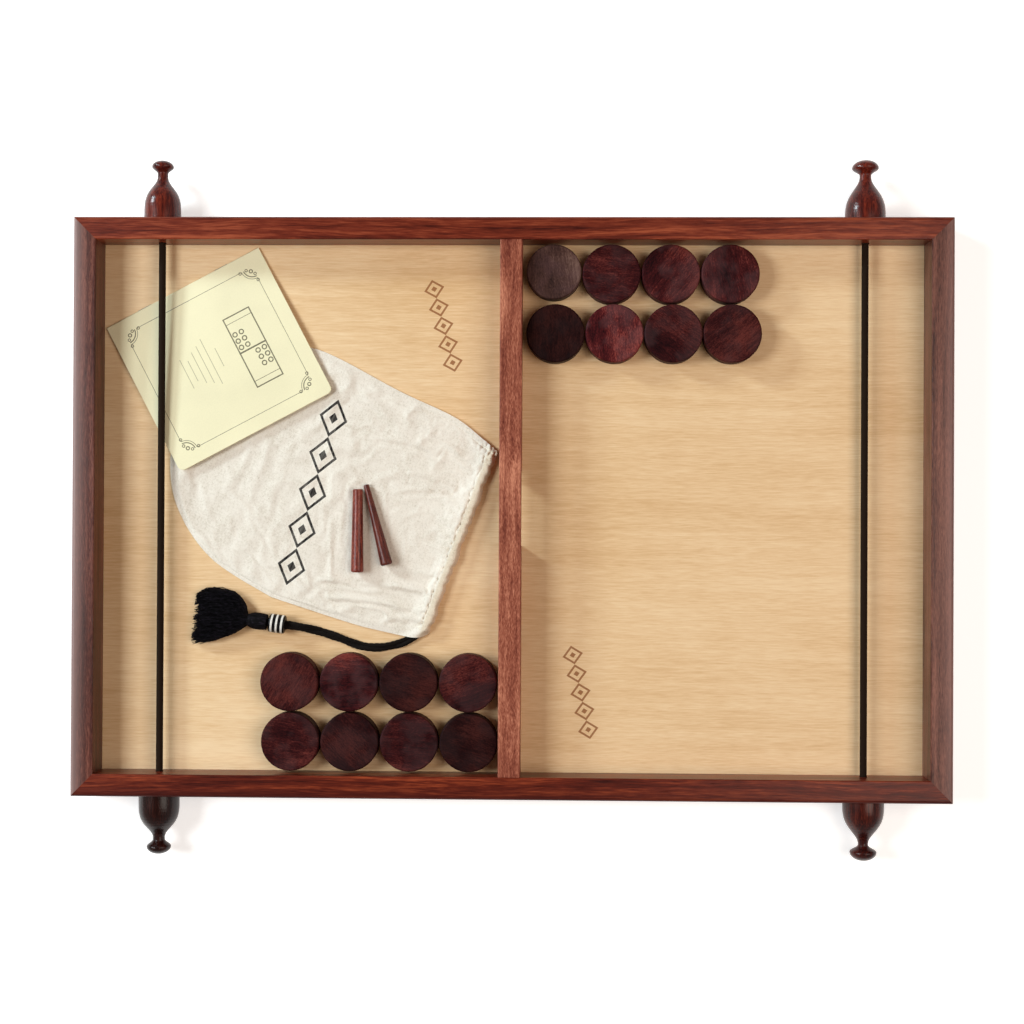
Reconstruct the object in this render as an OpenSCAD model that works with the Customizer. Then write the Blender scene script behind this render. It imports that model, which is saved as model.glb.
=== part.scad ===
// Sling puck board: a mitred tray with a gated divider, two elastic slings
// held under turned finials, sixteen pucks, and the set's loose pieces.
// Millimetres. The origin is the middle of the board, at table height.

/* [Frame] */
// Outside length of the frame, along X
board_l = 750; // [744:1:800]
// Outside width of the frame, along Y
board_w = 496; // [494:1:520]
// Height of the rails
rail_h = 42; // [40:0.5:60]
// Thickness of the rails
rail_t = 19.5; // [18:0.5:22]
// Round on the outer edges of the rails
rail_outer_round = 3; // [1:0.5:4]
// Round on the rails' inner top and outer bottom edges
rail_edge_round = 1.2; // [0.5:0.1:2]
// Round on the upright corners of the frame
corner_round = 1.5; // [0.5:0.1:3]
// Thickness of the base panel
base_t = 5; // [3:0.5:6]
// Height of the base panel's underside above the table
base_up = 6; // [4:0.5:8]
// Depth of the groove that holds the base panel
groove_d = 6; // [4:0.5:8]
// Length of a corner spline, across the mitre
spline_l = 16; // [10:0.5:17]
// Thickness of a corner spline
spline_t = 4; // [2:0.5:5]
// Height of a corner spline
spline_h = 20; // [10:0.5:22]
// Height of the splines' lower ends above the playing floor
spline_up = 4; // [2:0.5:6]

/* [Divider] */
// Thickness of the divider
divider_t = 19; // [14:0.5:22]
// Round on the top edges of the divider
divider_round = 1.2; // [0.5:0.1:2]
// Width of the gate in the divider
gate_w = 65; // [56:0.5:90]
// Height of the gate above the playing floor
gate_h = 21; // [19:0.5:25]
// Round on the gate's upper corners
gate_round = 4; // [1:0.5:8]
// Diameter of the dowels at the divider's ends
dowel_d = 6; // [4:0.5:8]
// Length of the dowels
dowel_l = 24; // [16:0.5:26]
// Heights of the dowels above the playing floor
dowel_ups = [8, 22]; // [7:0.5:23]

/* [Slings] */
// Distance of each sling from the middle of the board
sling_x = 303; // [299:1:314]
// Diameter of the elastic cord
sling_d = 6; // [4:0.5:6.5]
// Height of the slings above the playing floor
sling_up = 10; // [10:0.5:12]
// Clearance of the cord in its holes, all round
cord_gap = 0.7; // [0.3:0.1:1.5]
// Depth of the finials' sockets in the rails
socket_depth = 11; // [9:0.5:14]
// Diameter of the knots at the cords' ends
knot_d = 11.5; // [9:0.5:12]
// Length of the knots
knot_l = 12; // [8:0.5:14]

/* [Finials] */
// Base diameters: rear left, rear right, front left, front right
finial_base_d = [31.5, 34.5, 35, 35.4]; // [28:0.1:37]
// Neck diameters, in the same order
finial_neck_d = [9, 9.9, 10.2, 8.6]; // [7:0.1:12]
// Head diameters, in the same order
finial_head_d = [18.6, 22.6, 20.8, 22.8]; // [16:0.1:26]
// Length of the bell-shaped body
bell_l = 37; // [28:0.5:40]
// Lengths of the straight necks, in the order of the diameters
neck_l = [3.5, 2, 2.5, 1.5]; // [1:0.5:8]
// Length of the flare under the head
flare_l = 6; // [4:0.5:10]
// Lengths of the domed heads, in the same order
dome_l = [5.5, 7, 6.5, 7.5]; // [5:0.5:12]
// Wall of the hollow spigot in the rail's socket
spigot_wall = 1.7; // [1.2:0.1:2]
// Depth of the bore that covers the knot, from the spigot's end
finial_bore_l = 22; // [16:0.5:26]

/* [Pucks] */
// Diameter of a puck
puck_d = 50; // [46:0.5:51]
// Diameter of the one smaller puck
small_puck_d = 47; // [44:0.5:50]
// Height of a puck
puck_h = 18; // [12:0.5:18.5]
// Round on a puck's edges
puck_round = 1.6; // [0.5:0.1:4]
// Divider to first puck: right outer, right inner, left outer, left inner row
row_first = [3.4, 3.3, 0.6, 1.2]; // [0.4:0.1:6]
// Gap between the pucks of each row, in the same order
row_gap = [0.8, 0.5, 1.2, 1.3]; // [0.4:0.1:3]
// Gap between a rail and the outer row beside it
rail_gap = 2; // [0.5:0.1:3]
// Gap between the outer and the inner row
pair_gap = 1.2; // [0.4:0.1:2]

/* [Tensioning pegs] */
// Length of a tensioning peg
peg_l = 72; // [60:1:80]
// Small-end diameters of the two pegs
peg_small_d = [8.6, 4.6]; // [4:0.1:9]
// Large-end diameters of the two pegs
peg_big_d = [10.9, 10.5]; // [9:0.1:12]
// Rounds on the pegs' small and large ends
peg_rounds = [0.8, 1.8]; // [0.3:0.1:1.9]

/* [Cotton bag] */
// Thickness of each of the bag's two panels as they lie
bag_sheet_t = 1.2; // [0.8:0.05:1.25]
// Gap between the bag's mouth and the divider
bag_gap = 2; // [1:0.5:4]
// Height of the gathered hem at the bag's mouth
hem_t = 7.5; // [4:0.5:9]
// Diameter of the drawcord
drawcord_d = 7.5; // [6:0.5:8]
// Diameter of the bead on the drawcord
bead_d = 16; // [14:0.5:18]
// Length of the bead
bead_l = 14; // [10:0.5:14]
// Clearance of the drawcord in the bead, all round
bead_gap = 0.65; // [0.3:0.05:1.2]
// Round on the bead's rims
bead_round = 1.5; // [0.5:0.1:2]
// Diameter of the tassel's bound head
tassel_head_d = 15; // [12:0.5:16]
// Length of the tassel's bound head
tassel_head_l = 17; // [14:0.5:20]
// Round on the rims of the tassel's head
tassel_head_round = 3; // [1:0.5:4]
// Thickness of the tassel's skirt at its tips
tassel_tip_t = 8; // [5:0.5:10]

/* [Booklet] */
// Length of the booklet along its spine
booklet_l = 150; // [130:1:152]
// Width of the booklet
booklet_w = 142; // [120:1:145]
// Gaps from the spine's ends to the left and the rear rail
booklet_gaps = [2, 2.6]; // [1:0.2:4]
// Thickness of the folded cover
cover_t = 0.4; // [0.3:0.05:0.5]
// Thickness of the stack of pages
pages_t = 1; // [0.6:0.1:1.1]
// How far the pages stay inside the cover's edges
page_inset = 0.8; // [0.3:0.1:2]
// Diameter of the staple wire
staple_d = 0.5; // [0.3:0.05:0.6]
// Length of each staple
staple_l = 13; // [8:0.5:16]

/* [Hidden] */
$fn = 96;
// Pucks in a row, and on each side of the divider in two rows
row_pucks = 4;
side_pucks = 2 * row_pucks;

// Reach of a cutting shape past the face that it opens
over = 1;
// Clearance all round of a finial's spigot in its socket
slide_fit = 0.05;
// Clearance all round of a knot in the finial's bore
knot_gap = 0.5;
// Play behind the spigot in its socket
spigot_play = 1;
// Clearance of a glued piece in its slot or groove
glue_gap = 0.1;
// Clearance under a piece that slides on the floor
floor_gap = 0.1;
// Clearance round a soft or loose piece
soft_gap = 0.2;
// Clearance between the booklet's pages, cover and staples
paper_gap = 0.05;
// Clearance between the booklet and the sling above it
sling_gap = 0.3;
// Play at the bottom of the base panel's groove
groove_play = 0.5;
// Sides of the round shapes that a hull spans
hull_fn = 32;
// Powers that shape the finials' bells, full when high, in the order of their diameters
bell_power = [2.25, 1.75, 2.5, 1.95];

// Colours of the woods, the cords, the cotton and the paper
long_rail_rgb = [0.42, 0.17, 0.11];
end_rail_rgb = [0.38, 0.22, 0.20];
divider_rgb = [0.56, 0.29, 0.22];
floor_rgb = [0.86, 0.71, 0.52];
puck_rgb = [0.26, 0.12, 0.12];
grey_puck_rgb = [0.33, 0.24, 0.21];
finial_rgb = [0.30, 0.10, 0.09];
peg_rgb = [0.47, 0.20, 0.17];
light_wood_rgb = [0.80, 0.66, 0.47];
black_rgb = [0.07, 0.06, 0.06];
canvas_rgb = [0.91, 0.89, 0.85];
paper_rgb = [0.93, 0.92, 0.76];
page_rgb = [0.96, 0.95, 0.90];
steel_rgb = [0.62, 0.62, 0.64];

// Inside of the frame, the playing floor and the slings' height
inner_l = board_l - 2 * rail_t;
inner_w = board_w - 2 * rail_t;
floor_z = base_up + base_t;
sling_z = floor_z + sling_up;

// Where a sling's knots begin, either way from the middle
knot_y = board_w / 2 - socket_depth + glue_gap;

// The finial's bore covers the knot, and its spigot fits the rail's socket
finial_bore_d = knot_d + 2 * knot_gap;
spigot_d = finial_bore_d + 2 * spigot_wall;
spigot_l = socket_depth - spigot_play;
socket_d = spigot_d + 2 * slide_fit;
cord_hole_d = sling_d + 2 * cord_gap;

// The bag's own frame: x from the line bag_gap off the divider, and y from the
// line bag_behind past the inner edge of the left block of pucks
bag_behind = 125.3;
bag_x = -divider_t / 2 - bag_gap;
bag_y = rail_gap + 2 * puck_d + pair_gap - inner_w / 2 + bag_behind;
bag_pile = 2 * (soft_gap + bag_sheet_t);
mouth_top = [0, 49];
mouth_low = [-59.5, -110];
hem_low = [-75, -111];
hem_top = [-13, 60];
// The hem's low corner stays bare of the panels, where the drawcord leaves it
bare_hem = 5;
panel_low = hem_low + bare_hem * (hem_top - hem_low) / norm(hem_top - hem_low);
bag_edge = [
    panel_low, [-128, -99], [-197, -78], [-250, -44], [-280, 2], [-285, 50], [-271, 92],
    [-238, 125], [-198, 143], [-153, 136], [-85, 101], [-38, 79], hem_top
];
edge_steps = 5;

// The drawcord's route in the bag's frame: x, y, and the share of the climb
// from lying on the floor to the bead's bore
drawcord_route = [
    [-67, -107.5, 0], [-74, -112.8, 0], [-82, -116.8, 0], [-92, -119.5, 0], [-101, -121, 0],
    [-110, -121, 0], [-119, -119.5, 0], [-128, -116.5, 0], [-137, -113, 0],
    [-146, -110, 0], [-154, -107.5, 0.12], [-162, -105.3, 0.52], [-169, -103.7, 0.9],
    [-176, -102.5, 1], [-183, -101.6, 1], [-190, -100.7, 1], [-199, -99.55, 1]
];
// The tube's sides, and how many steps of the route lie between its rings
drawcord_sides = 10;
ring_step = 2;
// The route's point in the middle of the bead
bead_point = 15;
bead_z = floor_z + soft_gap + max(bead_d, tassel_head_d) / 2;
bead_bore_d = drawcord_d + 2 * bead_gap;
drawcord_z = floor_z + soft_gap + drawcord_d / 2;
last_point = len(drawcord_route) - 1;
tassel_step = drawcord_route[last_point] - drawcord_route[last_point - 1];
tassel_heading = atan2(tassel_step[1], tassel_step[0]);

// Rounded lobes of the tassel's skirt in the bag's frame: x, y, radius
skirt_lobes = [[-225, -83, 6.5], [-243, -78.5, 6.5], [-226, -104, 6.5], [-246, -111, 6]];
skirt_tips = [[-259, -81], [-260.5, -96], [-260, -112.5]];
// Thickness of the skirt's round root against the head
skirt_root_l = 0.5;

// Small ends of the tensioning pegs in the bag's frame, and the way they point
peg_starts = [[-121, 16], [-114, 20]];
peg_headings = [-90, -75];

// The booklet lies askew, its spine on the floor and its free side over the bag.
// It rises towards the sling, and its spine lifts only where the bag lies so near
// the spine that the slope alone would not clear it.
booklet_turn = 28;
booklet_t = 2 * cover_t + pages_t + 2 * paper_gap;
spine_x = -inner_l / 2 + booklet_gaps[0];
spine_y = inner_w / 2 - booklet_gaps[1] - booklet_l * sin(booklet_turn);
to_sling = min(booklet_w, (sling_x - sling_d / 2 + spine_x) / -sin(booklet_turn));
to_bag = min([for (p = smooth_line(bag_edge, edge_steps))
    from_spine(bag_x + p[0], bag_y + p[1])]) / to_sling;
booklet_rise = sling_up - sling_d / 2 - booklet_t - soft_gap - sling_gap;
booklet_lift = to_bag < 1 ? max(0, (bag_pile - booklet_rise * to_bag) / (1 - to_bag)) : 0;
booklet_tilt = atan((booklet_rise - booklet_lift) / to_sling);
staple_shares = [1 / 4, 3 / 4];

// How far a point of the floor lies from the booklet's spine, towards its free side
function from_spine(x, y) = (x - spine_x) * sin(booklet_turn) - (y - spine_y) * cos(booklet_turn);

// A point on the smooth curve through b and c, a and d being their neighbours
function between(a, b, c, d, t) =
    (2 * b + (c - a) * t + (2 * a - 5 * b + 4 * c - d) * t ^ 2
    + (3 * b - a - 3 * c + d) * t ^ 3) / 2;

// The smooth curve through all the points of a list
function smooth_line(p, steps) = concat(
    [for (i = [0:len(p) - 2]) for (k = [0:steps - 1])
        between(p[max(i - 1, 0)], p[i], p[i + 1], p[min(i + 2, len(p) - 1)], k / steps)],
    [p[len(p) - 1]]
);

// What lies outside a quarter circle of radius r in the corner at the origin
module corner_cut(r) {
    difference() {
        translate([-over, -over]) square(r + over);
        translate([r, r]) circle(r);
    }
}

// Cross-section of a rail: x from its outer face, y from its underside
module rail_section() {
    difference() {
        square([rail_t, rail_h]);
        corner_cut(rail_edge_round);
        translate([0, rail_h]) rotate(-90) corner_cut(rail_outer_round);
        translate([rail_t, rail_h]) rotate(180) corner_cut(rail_edge_round);
        translate([rail_t - groove_d, base_up - glue_gap])
            square([groove_d + over, base_t + 2 * glue_gap]);
    }
}

// A rail with mitred ends, along X, with its outer face at y = 0
module mitred_rail(length) {
    tip = length / 2 + over;
    heel = length / 2 - rail_t - over;
    intersection() {
        rotate([90, 0, 90]) linear_extrude(length, center = true) rail_section();
        translate([0, 0, -over]) linear_extrude(rail_h + 2 * over) difference() {
            polygon([[-tip, -over], [tip, -over], [heel, rail_t + over], [-heel, rail_t + over]]);
            for (end = [0, 1]) mirror([end, 0]) translate([-length / 2, 0]) corner_cut(corner_round);
        }
    }
}

// Puts a child at each corner's spline, its y axis across the mitre
module at_corners() {
    for (sx = [-1, 1], sy = [-1, 1])
        translate([sx * (board_l - rail_t) / 2, sy * (board_w - rail_t) / 2, floor_z + spline_up])
            rotate([0, 0, sx * sy * 45]) children();
}

// A corner spline, or with play the slot that it is glued into
module spline_block(play) {
    translate([-spline_t / 2 - play, -spline_l / 2 - play, -play])
        cube([spline_t + 2 * play, spline_l + 2 * play, spline_h + 2 * play]);
}

// A dowel at each end of the divider, or with play its bores
module dowel_set(play) {
    for (end = [-1, 1], up = dowel_ups)
        translate([0, end * inner_w / 2, floor_z + up]) rotate([90, 0, 0])
            cylinder(d = dowel_d + 2 * play, h = dowel_l + 2 * play, center = true);
}

// The cord hole and the finial's socket, both ends of both slings
module sling_bores() {
    for (sx = [-1, 1], end = [-1, 1]) translate([sx * sling_x, end * board_w / 2, sling_z])
        rotate([90 * end, 0, 0]) {
            translate([0, 0, -over]) cylinder(d = cord_hole_d, h = rail_t + 2 * over);
            translate([0, 0, -over]) cylinder(d = socket_d, h = socket_depth + over);
        }
}

// A long rail of the frame; end is -1 at the front and 1 at the rear
module long_rail(end) {
    color(long_rail_rgb) difference() {
        rotate([0, 0, end == 1 ? 180 : 0]) translate([0, -board_w / 2, 0]) mitred_rail(board_l);
        at_corners() spline_block(glue_gap);
        dowel_set(glue_gap);
        sling_bores();
    }
}

// An end rail of the frame; side is -1 at the left and 1 at the right
module end_rail(side) {
    color(end_rail_rgb) difference() {
        rotate([0, 0, side * 90]) translate([0, -board_l / 2, 0]) mitred_rail(board_w);
        at_corners() spline_block(glue_gap);
    }
}

module corner_splines() {
    color(light_wood_rgb) at_corners() spline_block(0);
}

module base_panel() {
    reach = 2 * (groove_d - groove_play);
    color(floor_rgb) translate([-(inner_l + reach) / 2, -(inner_w + reach) / 2, base_up])
        cube([inner_l + reach, inner_w + reach, base_t]);
}

// The divider stands on the floor between the long rails, with the gate cut
// through its foot
module divider() {
    height = rail_h - floor_z;
    color(divider_rgb) difference() {
        translate([0, 0, floor_z]) rotate([90, 0, 0]) linear_extrude(inner_w, center = true)
            difference() {
                translate([-divider_t / 2, 0]) square([divider_t, height]);
                translate([-divider_t / 2, height]) rotate(-90) corner_cut(divider_round);
                translate([divider_t / 2, height]) rotate(180) corner_cut(divider_round);
            }
        translate([0, 0, floor_z]) rotate([90, 0, 90])
            linear_extrude(divider_t + 2 * over, center = true) difference() {
                translate([-gate_w / 2, -over]) square([gate_w, gate_h + over]);
                translate([-gate_w / 2, gate_h]) rotate(-90) corner_cut(gate_round);
                translate([gate_w / 2, gate_h]) rotate(180) corner_cut(gate_round);
            }
        dowel_set(glue_gap);
    }
}

module divider_dowels() {
    color(light_wood_rgb) dowel_set(0);
}

// An elastic sling, straight from knot to knot; side is -1 or 1
module sling_cord(side) {
    color(black_rgb) translate([side * sling_x, 0, sling_z]) rotate([90, 0, 0])
        cylinder(d = sling_d, h = 2 * knot_y, center = true);
}

// The knots at both ends of a sling, each as two rounded turns
module sling_knots(side) {
    steps = 32;
    turns = [for (k = [0:steps])
        [sling_d / 2 + (knot_d - sling_d) / 2 * sqrt(abs(sin(360 * k / steps))), knot_l * k / steps]];
    color(black_rgb) for (end = [-1, 1])
        translate([side * sling_x, end * knot_y, sling_z]) rotate([-90 * end, 0, 0])
            rotate_extrude() polygon(concat([[0, 0]], turns, [[0, knot_l]]));
}

// Half outline of a finial: a bell, a neck, a flare and a domed head
function finial_outline(place, steps = 14) =
    let (base_r = finial_base_d[place] / 2, neck_r = finial_neck_d[place] / 2,
         head_r = finial_head_d[place] / 2,
         flare_at = bell_l + neck_l[place], dome_at = flare_at + flare_l)
    concat(
        [[0, 0]],
        [for (k = [0:steps]) let (t = k / steps)
            [neck_r + (base_r - neck_r) * (1 + cos(180 * t ^ bell_power[place])) / 2, bell_l * t]],
        [for (k = [0:steps]) let (t = k / steps)
            [neck_r + (head_r - neck_r) * (1 - cos(180 * t)) / 2, flare_at + flare_l * t]],
        [for (k = [1:steps]) let (t = k / steps)
            [head_r * cos(90 * t), dome_at + dome_l[place] * sin(90 * t)]]
    );

// A turned finial on its hollow spigot, outwards from the rail's face
module finial(place, side, end) {
    color(finial_rgb) translate([side * sling_x, end * board_w / 2, sling_z])
        rotate([-90 * end, 0, 0]) difference() {
            union() {
                rotate_extrude() polygon(finial_outline(place));
                translate([0, 0, -spigot_l])
                    cylinder(d = spigot_d, h = spigot_l + over);
            }
            translate([0, 0, -spigot_l - over])
                cylinder(d = finial_bore_d, h = finial_bore_l + over);
        }
}

// The first pucks are the row beside the rail and the others the next, each
// from the divider outwards; the right block is at the rear, the left at the front
function puck_row(side, i) = (side == 1 ? 0 : 2) + (i > row_pucks ? 1 : 0);
function puck_size(side, i) = side == 1 && i == 1 ? small_puck_d : puck_d;
function puck_x(side, i) =
    let (n = (i - 1) % row_pucks, row = puck_row(side, i), first = puck_size(side, i - n))
    divider_t / 2 + row_first[row] + n * row_gap[row]
    + (n == 0 ? first / 2 : first + (n - 0.5) * puck_d);
function puck_y(side, i) = inner_w / 2 - rail_gap
    - (i > row_pucks ? puck_d + pair_gap + puck_d / 2 : puck_size(side, i) / 2);

module puck(side, i) {
    size = puck_size(side, i);
    color(size == puck_d ? puck_rgb : grey_puck_rgb)
        translate([side * puck_x(side, i), side * puck_y(side, i), floor_z + floor_gap])
            rotate_extrude() difference() {
                square([size / 2, puck_h]);
                translate([size / 2, 0]) rotate(90) corner_cut(puck_round);
                translate([size / 2, puck_h]) rotate(180) corner_cut(puck_round);
            }
}

// Half outline of a tapered peg, round at both ends
function peg_outline(small_r, big_r, steps = 6) = concat(
    [[0, 0]],
    [for (k = [0:steps]) let (turn = 90 * k / steps)
        [small_r - peg_rounds[0] * (1 - sin(turn)), peg_rounds[0] * (1 - cos(turn))]],
    [for (k = [0:steps]) let (turn = 90 * k / steps)
        [big_r - peg_rounds[1] * (1 - cos(turn)), peg_l - peg_rounds[1] * (1 - sin(turn))]],
    [[0, peg_l]]
);

// A tapered peg lying on the bag, its lower side level
module tensioning_peg(i) {
    small_r = peg_small_d[i] / 2;
    big_r = peg_big_d[i] / 2;
    slope = atan((big_r - small_r) / peg_l);
    color(peg_rgb)
        translate([bag_x + peg_starts[i][0], bag_y + peg_starts[i][1],
                   floor_z + bag_pile + soft_gap + small_r * cos(slope)])
            rotate([0, 90 - slope, peg_headings[i]])
                rotate_extrude() polygon(peg_outline(small_r, big_r));
}

// One of the bag's two panels, from its closed end to the hem
module bag_panel(layer) {
    color(canvas_rgb)
        translate([bag_x, bag_y, floor_z + soft_gap + layer * (bag_sheet_t + soft_gap)])
            linear_extrude(bag_sheet_t) polygon(smooth_line(bag_edge, edge_steps));
}

module bag_hem() {
    color(canvas_rgb) translate([bag_x, bag_y, floor_z + soft_gap]) linear_extrude(hem_t)
        polygon([mouth_top, mouth_low, hem_low, hem_top]);
}

// A point of the drawcord's middle line, and the ring of points round it
function middle(i) = let (p = drawcord_route[min(max(i, 0), last_point)])
    [p[0], p[1], drawcord_z + (bead_z - drawcord_z) * p[2]];
function ring(i) =
    let (way = middle(i + 1) - middle(i - 1), dir = way / norm(way),
         flat = cross(dir, [0, 0, 1]), side = flat / norm(flat), up = cross(side, dir))
    [for (j = [0:drawcord_sides - 1]) let (a = 360 * j / drawcord_sides)
        middle(i) + drawcord_d / 2 * (cos(a) * side + sin(a) * up)];

// The drawcord swept along its route, from inside the hem to the tassel
module bag_drawcord() {
    n = drawcord_sides;
    last_ring = last_point / ring_step;
    skin = [for (i = [0:last_ring - 1]) for (j = [0:n - 1])
        let (a = i * n + j, b = i * n + (j + 1) % n) each [[a, b, b + n], [a, b + n, a + n]]];
    caps = [[for (j = [n - 1:-1:0]) j], [for (j = [0:n - 1]) last_ring * n + j]];
    color(black_rgb) translate([bag_x, bag_y, 0]) polyhedron(
        [for (i = [0:ring_step:last_point]) each ring(i)], concat(skin, caps));
}

// Puts a child at a point of the drawcord's route, its z axis towards the tassel
module on_drawcord(i) {
    translate([bag_x + drawcord_route[i][0], bag_y + drawcord_route[i][1], bead_z])
        rotate([0, 90, tassel_heading]) children();
}

module drawcord_bead() {
    wall = (bead_d - bead_bore_d) / 2;
    color(black_rgb) on_drawcord(bead_point) translate([0, 0, -bead_l / 2])
        rotate_extrude() translate([bead_bore_d / 2, 0]) difference() {
            square([wall, bead_l]);
            translate([wall, 0]) rotate(90) corner_cut(bead_round);
            translate([wall, bead_l]) rotate(180) corner_cut(bead_round);
        }
}

module tassel_head() {
    color(black_rgb) on_drawcord(last_point) rotate_extrude() difference() {
        square([tassel_head_d / 2, tassel_head_l]);
        translate([tassel_head_d / 2, 0]) rotate(90) corner_cut(tassel_head_round);
        translate([tassel_head_d / 2, tassel_head_l])
            rotate(180) corner_cut(tassel_head_round);
    }
}

// The skirt of the tassel, spread out on the floor
module tassel_skirt() {
    color(black_rgb) hull() {
        on_drawcord(last_point) translate([0, 0, tassel_head_l])
            cylinder(d = tassel_head_d - 2 * tassel_head_round, h = skirt_root_l, $fn = hull_fn);
        for (p = skirt_lobes)
            translate([bag_x + p[0], bag_y + p[1], floor_z + soft_gap + p[2]])
                sphere(p[2], $fn = hull_fn);
        for (p = skirt_tips)
            translate([bag_x + p[0], bag_y + p[1], floor_z + soft_gap + tassel_tip_t / 2])
                sphere(tassel_tip_t / 2, $fn = hull_fn);
    }
}

// Puts a child in the booklet's own frame: x along the spine, -y to the free
// edge, z up through the pages
module in_booklet() {
    translate([spine_x, spine_y, floor_z + soft_gap + booklet_lift])
        rotate([0, 0, booklet_turn]) rotate([-booklet_tilt, 0, 0]) children();
}

module booklet_cover() {
    color(paper_rgb) in_booklet() difference() {
        translate([0, -booklet_w, 0]) cube([booklet_l, booklet_w, booklet_t]);
        translate([-over, -booklet_w - over, cover_t])
            cube([booklet_l + 2 * over, booklet_w + over - cover_t, booklet_t - 2 * cover_t]);
    }
}

module booklet_pages() {
    color(page_rgb) in_booklet()
        translate([page_inset, page_inset - booklet_w, cover_t + paper_gap])
            cube([booklet_l - 2 * page_inset, booklet_w - page_inset - cover_t - paper_gap, pages_t]);
}

// Two staples along the outside of the fold
module booklet_staples() {
    color(steel_rgb) in_booklet() for (share = staple_shares)
        translate([booklet_l * share, staple_d / 2 + paper_gap, booklet_t / 2])
            rotate([0, 90, 0]) cylinder(d = staple_d, h = staple_l, center = true);
}

long_rail(-1);  // front_rail
long_rail(1);  // rear_rail
end_rail(-1);  // left_end_rail
end_rail(1);  // right_end_rail
corner_splines();
base_panel();
divider();
divider_dowels();
sling_cord(-1);  // left_sling_cord
sling_cord(1);  // right_sling_cord
sling_knots(-1);  // left_sling_knots
sling_knots(1);  // right_sling_knots
finial(0, -1, 1);  // rear_left_finial
finial(1, 1, 1);  // rear_right_finial
finial(2, -1, -1);  // front_left_finial
finial(3, 1, -1);  // front_right_finial
for (i = [1:side_pucks]) puck(1, i);
for (i = [1:side_pucks]) puck(-1, i);
tensioning_peg(0);  // tensioning_peg_a
tensioning_peg(1);  // tensioning_peg_b
bag_panel(0);  // bag_back_panel
bag_panel(1);  // bag_front_panel
bag_hem();
bag_drawcord();
drawcord_bead();
tassel_head();
tassel_skirt();
booklet_cover();
booklet_pages();
booklet_staples();
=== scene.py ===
import math
import random

import bmesh
import bpy
import numpy as np
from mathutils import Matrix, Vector


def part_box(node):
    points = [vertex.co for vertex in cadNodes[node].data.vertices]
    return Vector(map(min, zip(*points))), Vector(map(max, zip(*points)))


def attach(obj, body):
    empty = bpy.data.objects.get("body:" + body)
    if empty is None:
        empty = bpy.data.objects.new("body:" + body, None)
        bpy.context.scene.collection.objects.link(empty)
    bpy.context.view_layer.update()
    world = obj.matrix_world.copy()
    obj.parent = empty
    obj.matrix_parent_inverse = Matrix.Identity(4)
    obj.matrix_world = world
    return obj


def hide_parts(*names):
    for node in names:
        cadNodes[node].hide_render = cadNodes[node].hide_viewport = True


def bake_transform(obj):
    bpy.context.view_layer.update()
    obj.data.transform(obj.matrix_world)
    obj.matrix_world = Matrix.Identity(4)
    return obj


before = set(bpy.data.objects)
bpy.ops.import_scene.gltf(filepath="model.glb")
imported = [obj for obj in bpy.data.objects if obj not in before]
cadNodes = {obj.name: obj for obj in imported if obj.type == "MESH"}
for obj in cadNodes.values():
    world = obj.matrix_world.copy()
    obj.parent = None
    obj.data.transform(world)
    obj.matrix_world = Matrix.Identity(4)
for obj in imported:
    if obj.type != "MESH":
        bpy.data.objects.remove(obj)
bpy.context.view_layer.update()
print("frame loaded:", len(cadNodes), "nodes")

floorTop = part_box("base_panel")[1].z    # the playing floor
hemReach = 0.111    # from the hem's low end to the origin of the bag's own frame
hemLow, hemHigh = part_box("bag_hem")
bagCorner = Vector((hemHigh.x, hemLow.y + hemReach, floorTop))
bagAt = np.array(bagCorner)[:2]
wavePitch = (0.7, 1.5)    # the range that a ripple's pitch is drawn from, as shares of its size
anyTurn = 6.3    # the end of the range that a wave's start is drawn from


# Small helpers for objects

def deselectAll():
    if bpy.context.object and bpy.context.object.mode != "OBJECT":
        bpy.ops.object.mode_set(mode="OBJECT")
    bpy.ops.object.select_all(action="DESELECT")


def work(piece):    # makes one piece the only selected and active one
    deselectAll()
    piece.select_set(True)
    bpy.context.view_layer.objects.active = piece
    return piece


def settlePlace(piece):    # place, turn and size go into the mesh
    work(piece)
    bpy.ops.object.transform_apply(location=True, rotation=True, scale=True)
    return piece


def editOn(piece, kind="VERT"):
    work(piece)
    bpy.ops.object.mode_set(mode="EDIT")
    bpy.ops.mesh.select_mode(type=kind)
    bpy.ops.mesh.select_all(action="DESELECT")
    return bmesh.from_edit_mesh(piece.data)


def editOff():
    bpy.ops.object.mode_set(mode="OBJECT")


def pickEdges(piece, wanted):    # selects the edges whose two ends pass the test
    shape = editOn(piece, "EDGE")
    for edge in shape.edges:
        edge.select_set(wanted(edge.verts[0].co, edge.verts[1].co))
    bmesh.update_edit_mesh(piece.data)


def finishModifiers(piece):
    work(piece)
    for modifier in list(piece.modifiers):
        bpy.ops.object.modifier_apply(modifier=modifier.name)
    return piece


def corners(piece):    # the vertices' places as an array
    found = np.zeros(len(piece.data.vertices) * 3)
    piece.data.vertices.foreach_get("co", found)
    return found.reshape(-1, 3)


def setCorners(piece, places):
    piece.data.vertices.foreach_set("co", np.asarray(places, dtype=float).ravel())
    piece.data.update()


def newGrid(name, along, across):    # a flat grid, and the shares of the way that its corners lie at
    deselectAll()
    bpy.ops.mesh.primitive_grid_add(x_subdivisions=along, y_subdivisions=across, size=1)
    piece = bpy.context.object
    piece.name = name
    shares = corners(piece) + 0.5
    return piece, shares[:, 0], shares[:, 1]


def addRow(piece, count, step):    # copies of a piece, each one step further on
    row = piece.modifiers.new("row", "ARRAY")
    row.count = count
    row.use_relative_offset = False
    row.use_constant_offset = True
    row.constant_offset_displace = step
    finishModifiers(piece)


def thicken(piece, thickness):    # a sheet gets this thickness, half of it on either side
    card = piece.modifiers.new("card", "SOLIDIFY")
    card.thickness = thickness
    card.offset = 0


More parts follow.
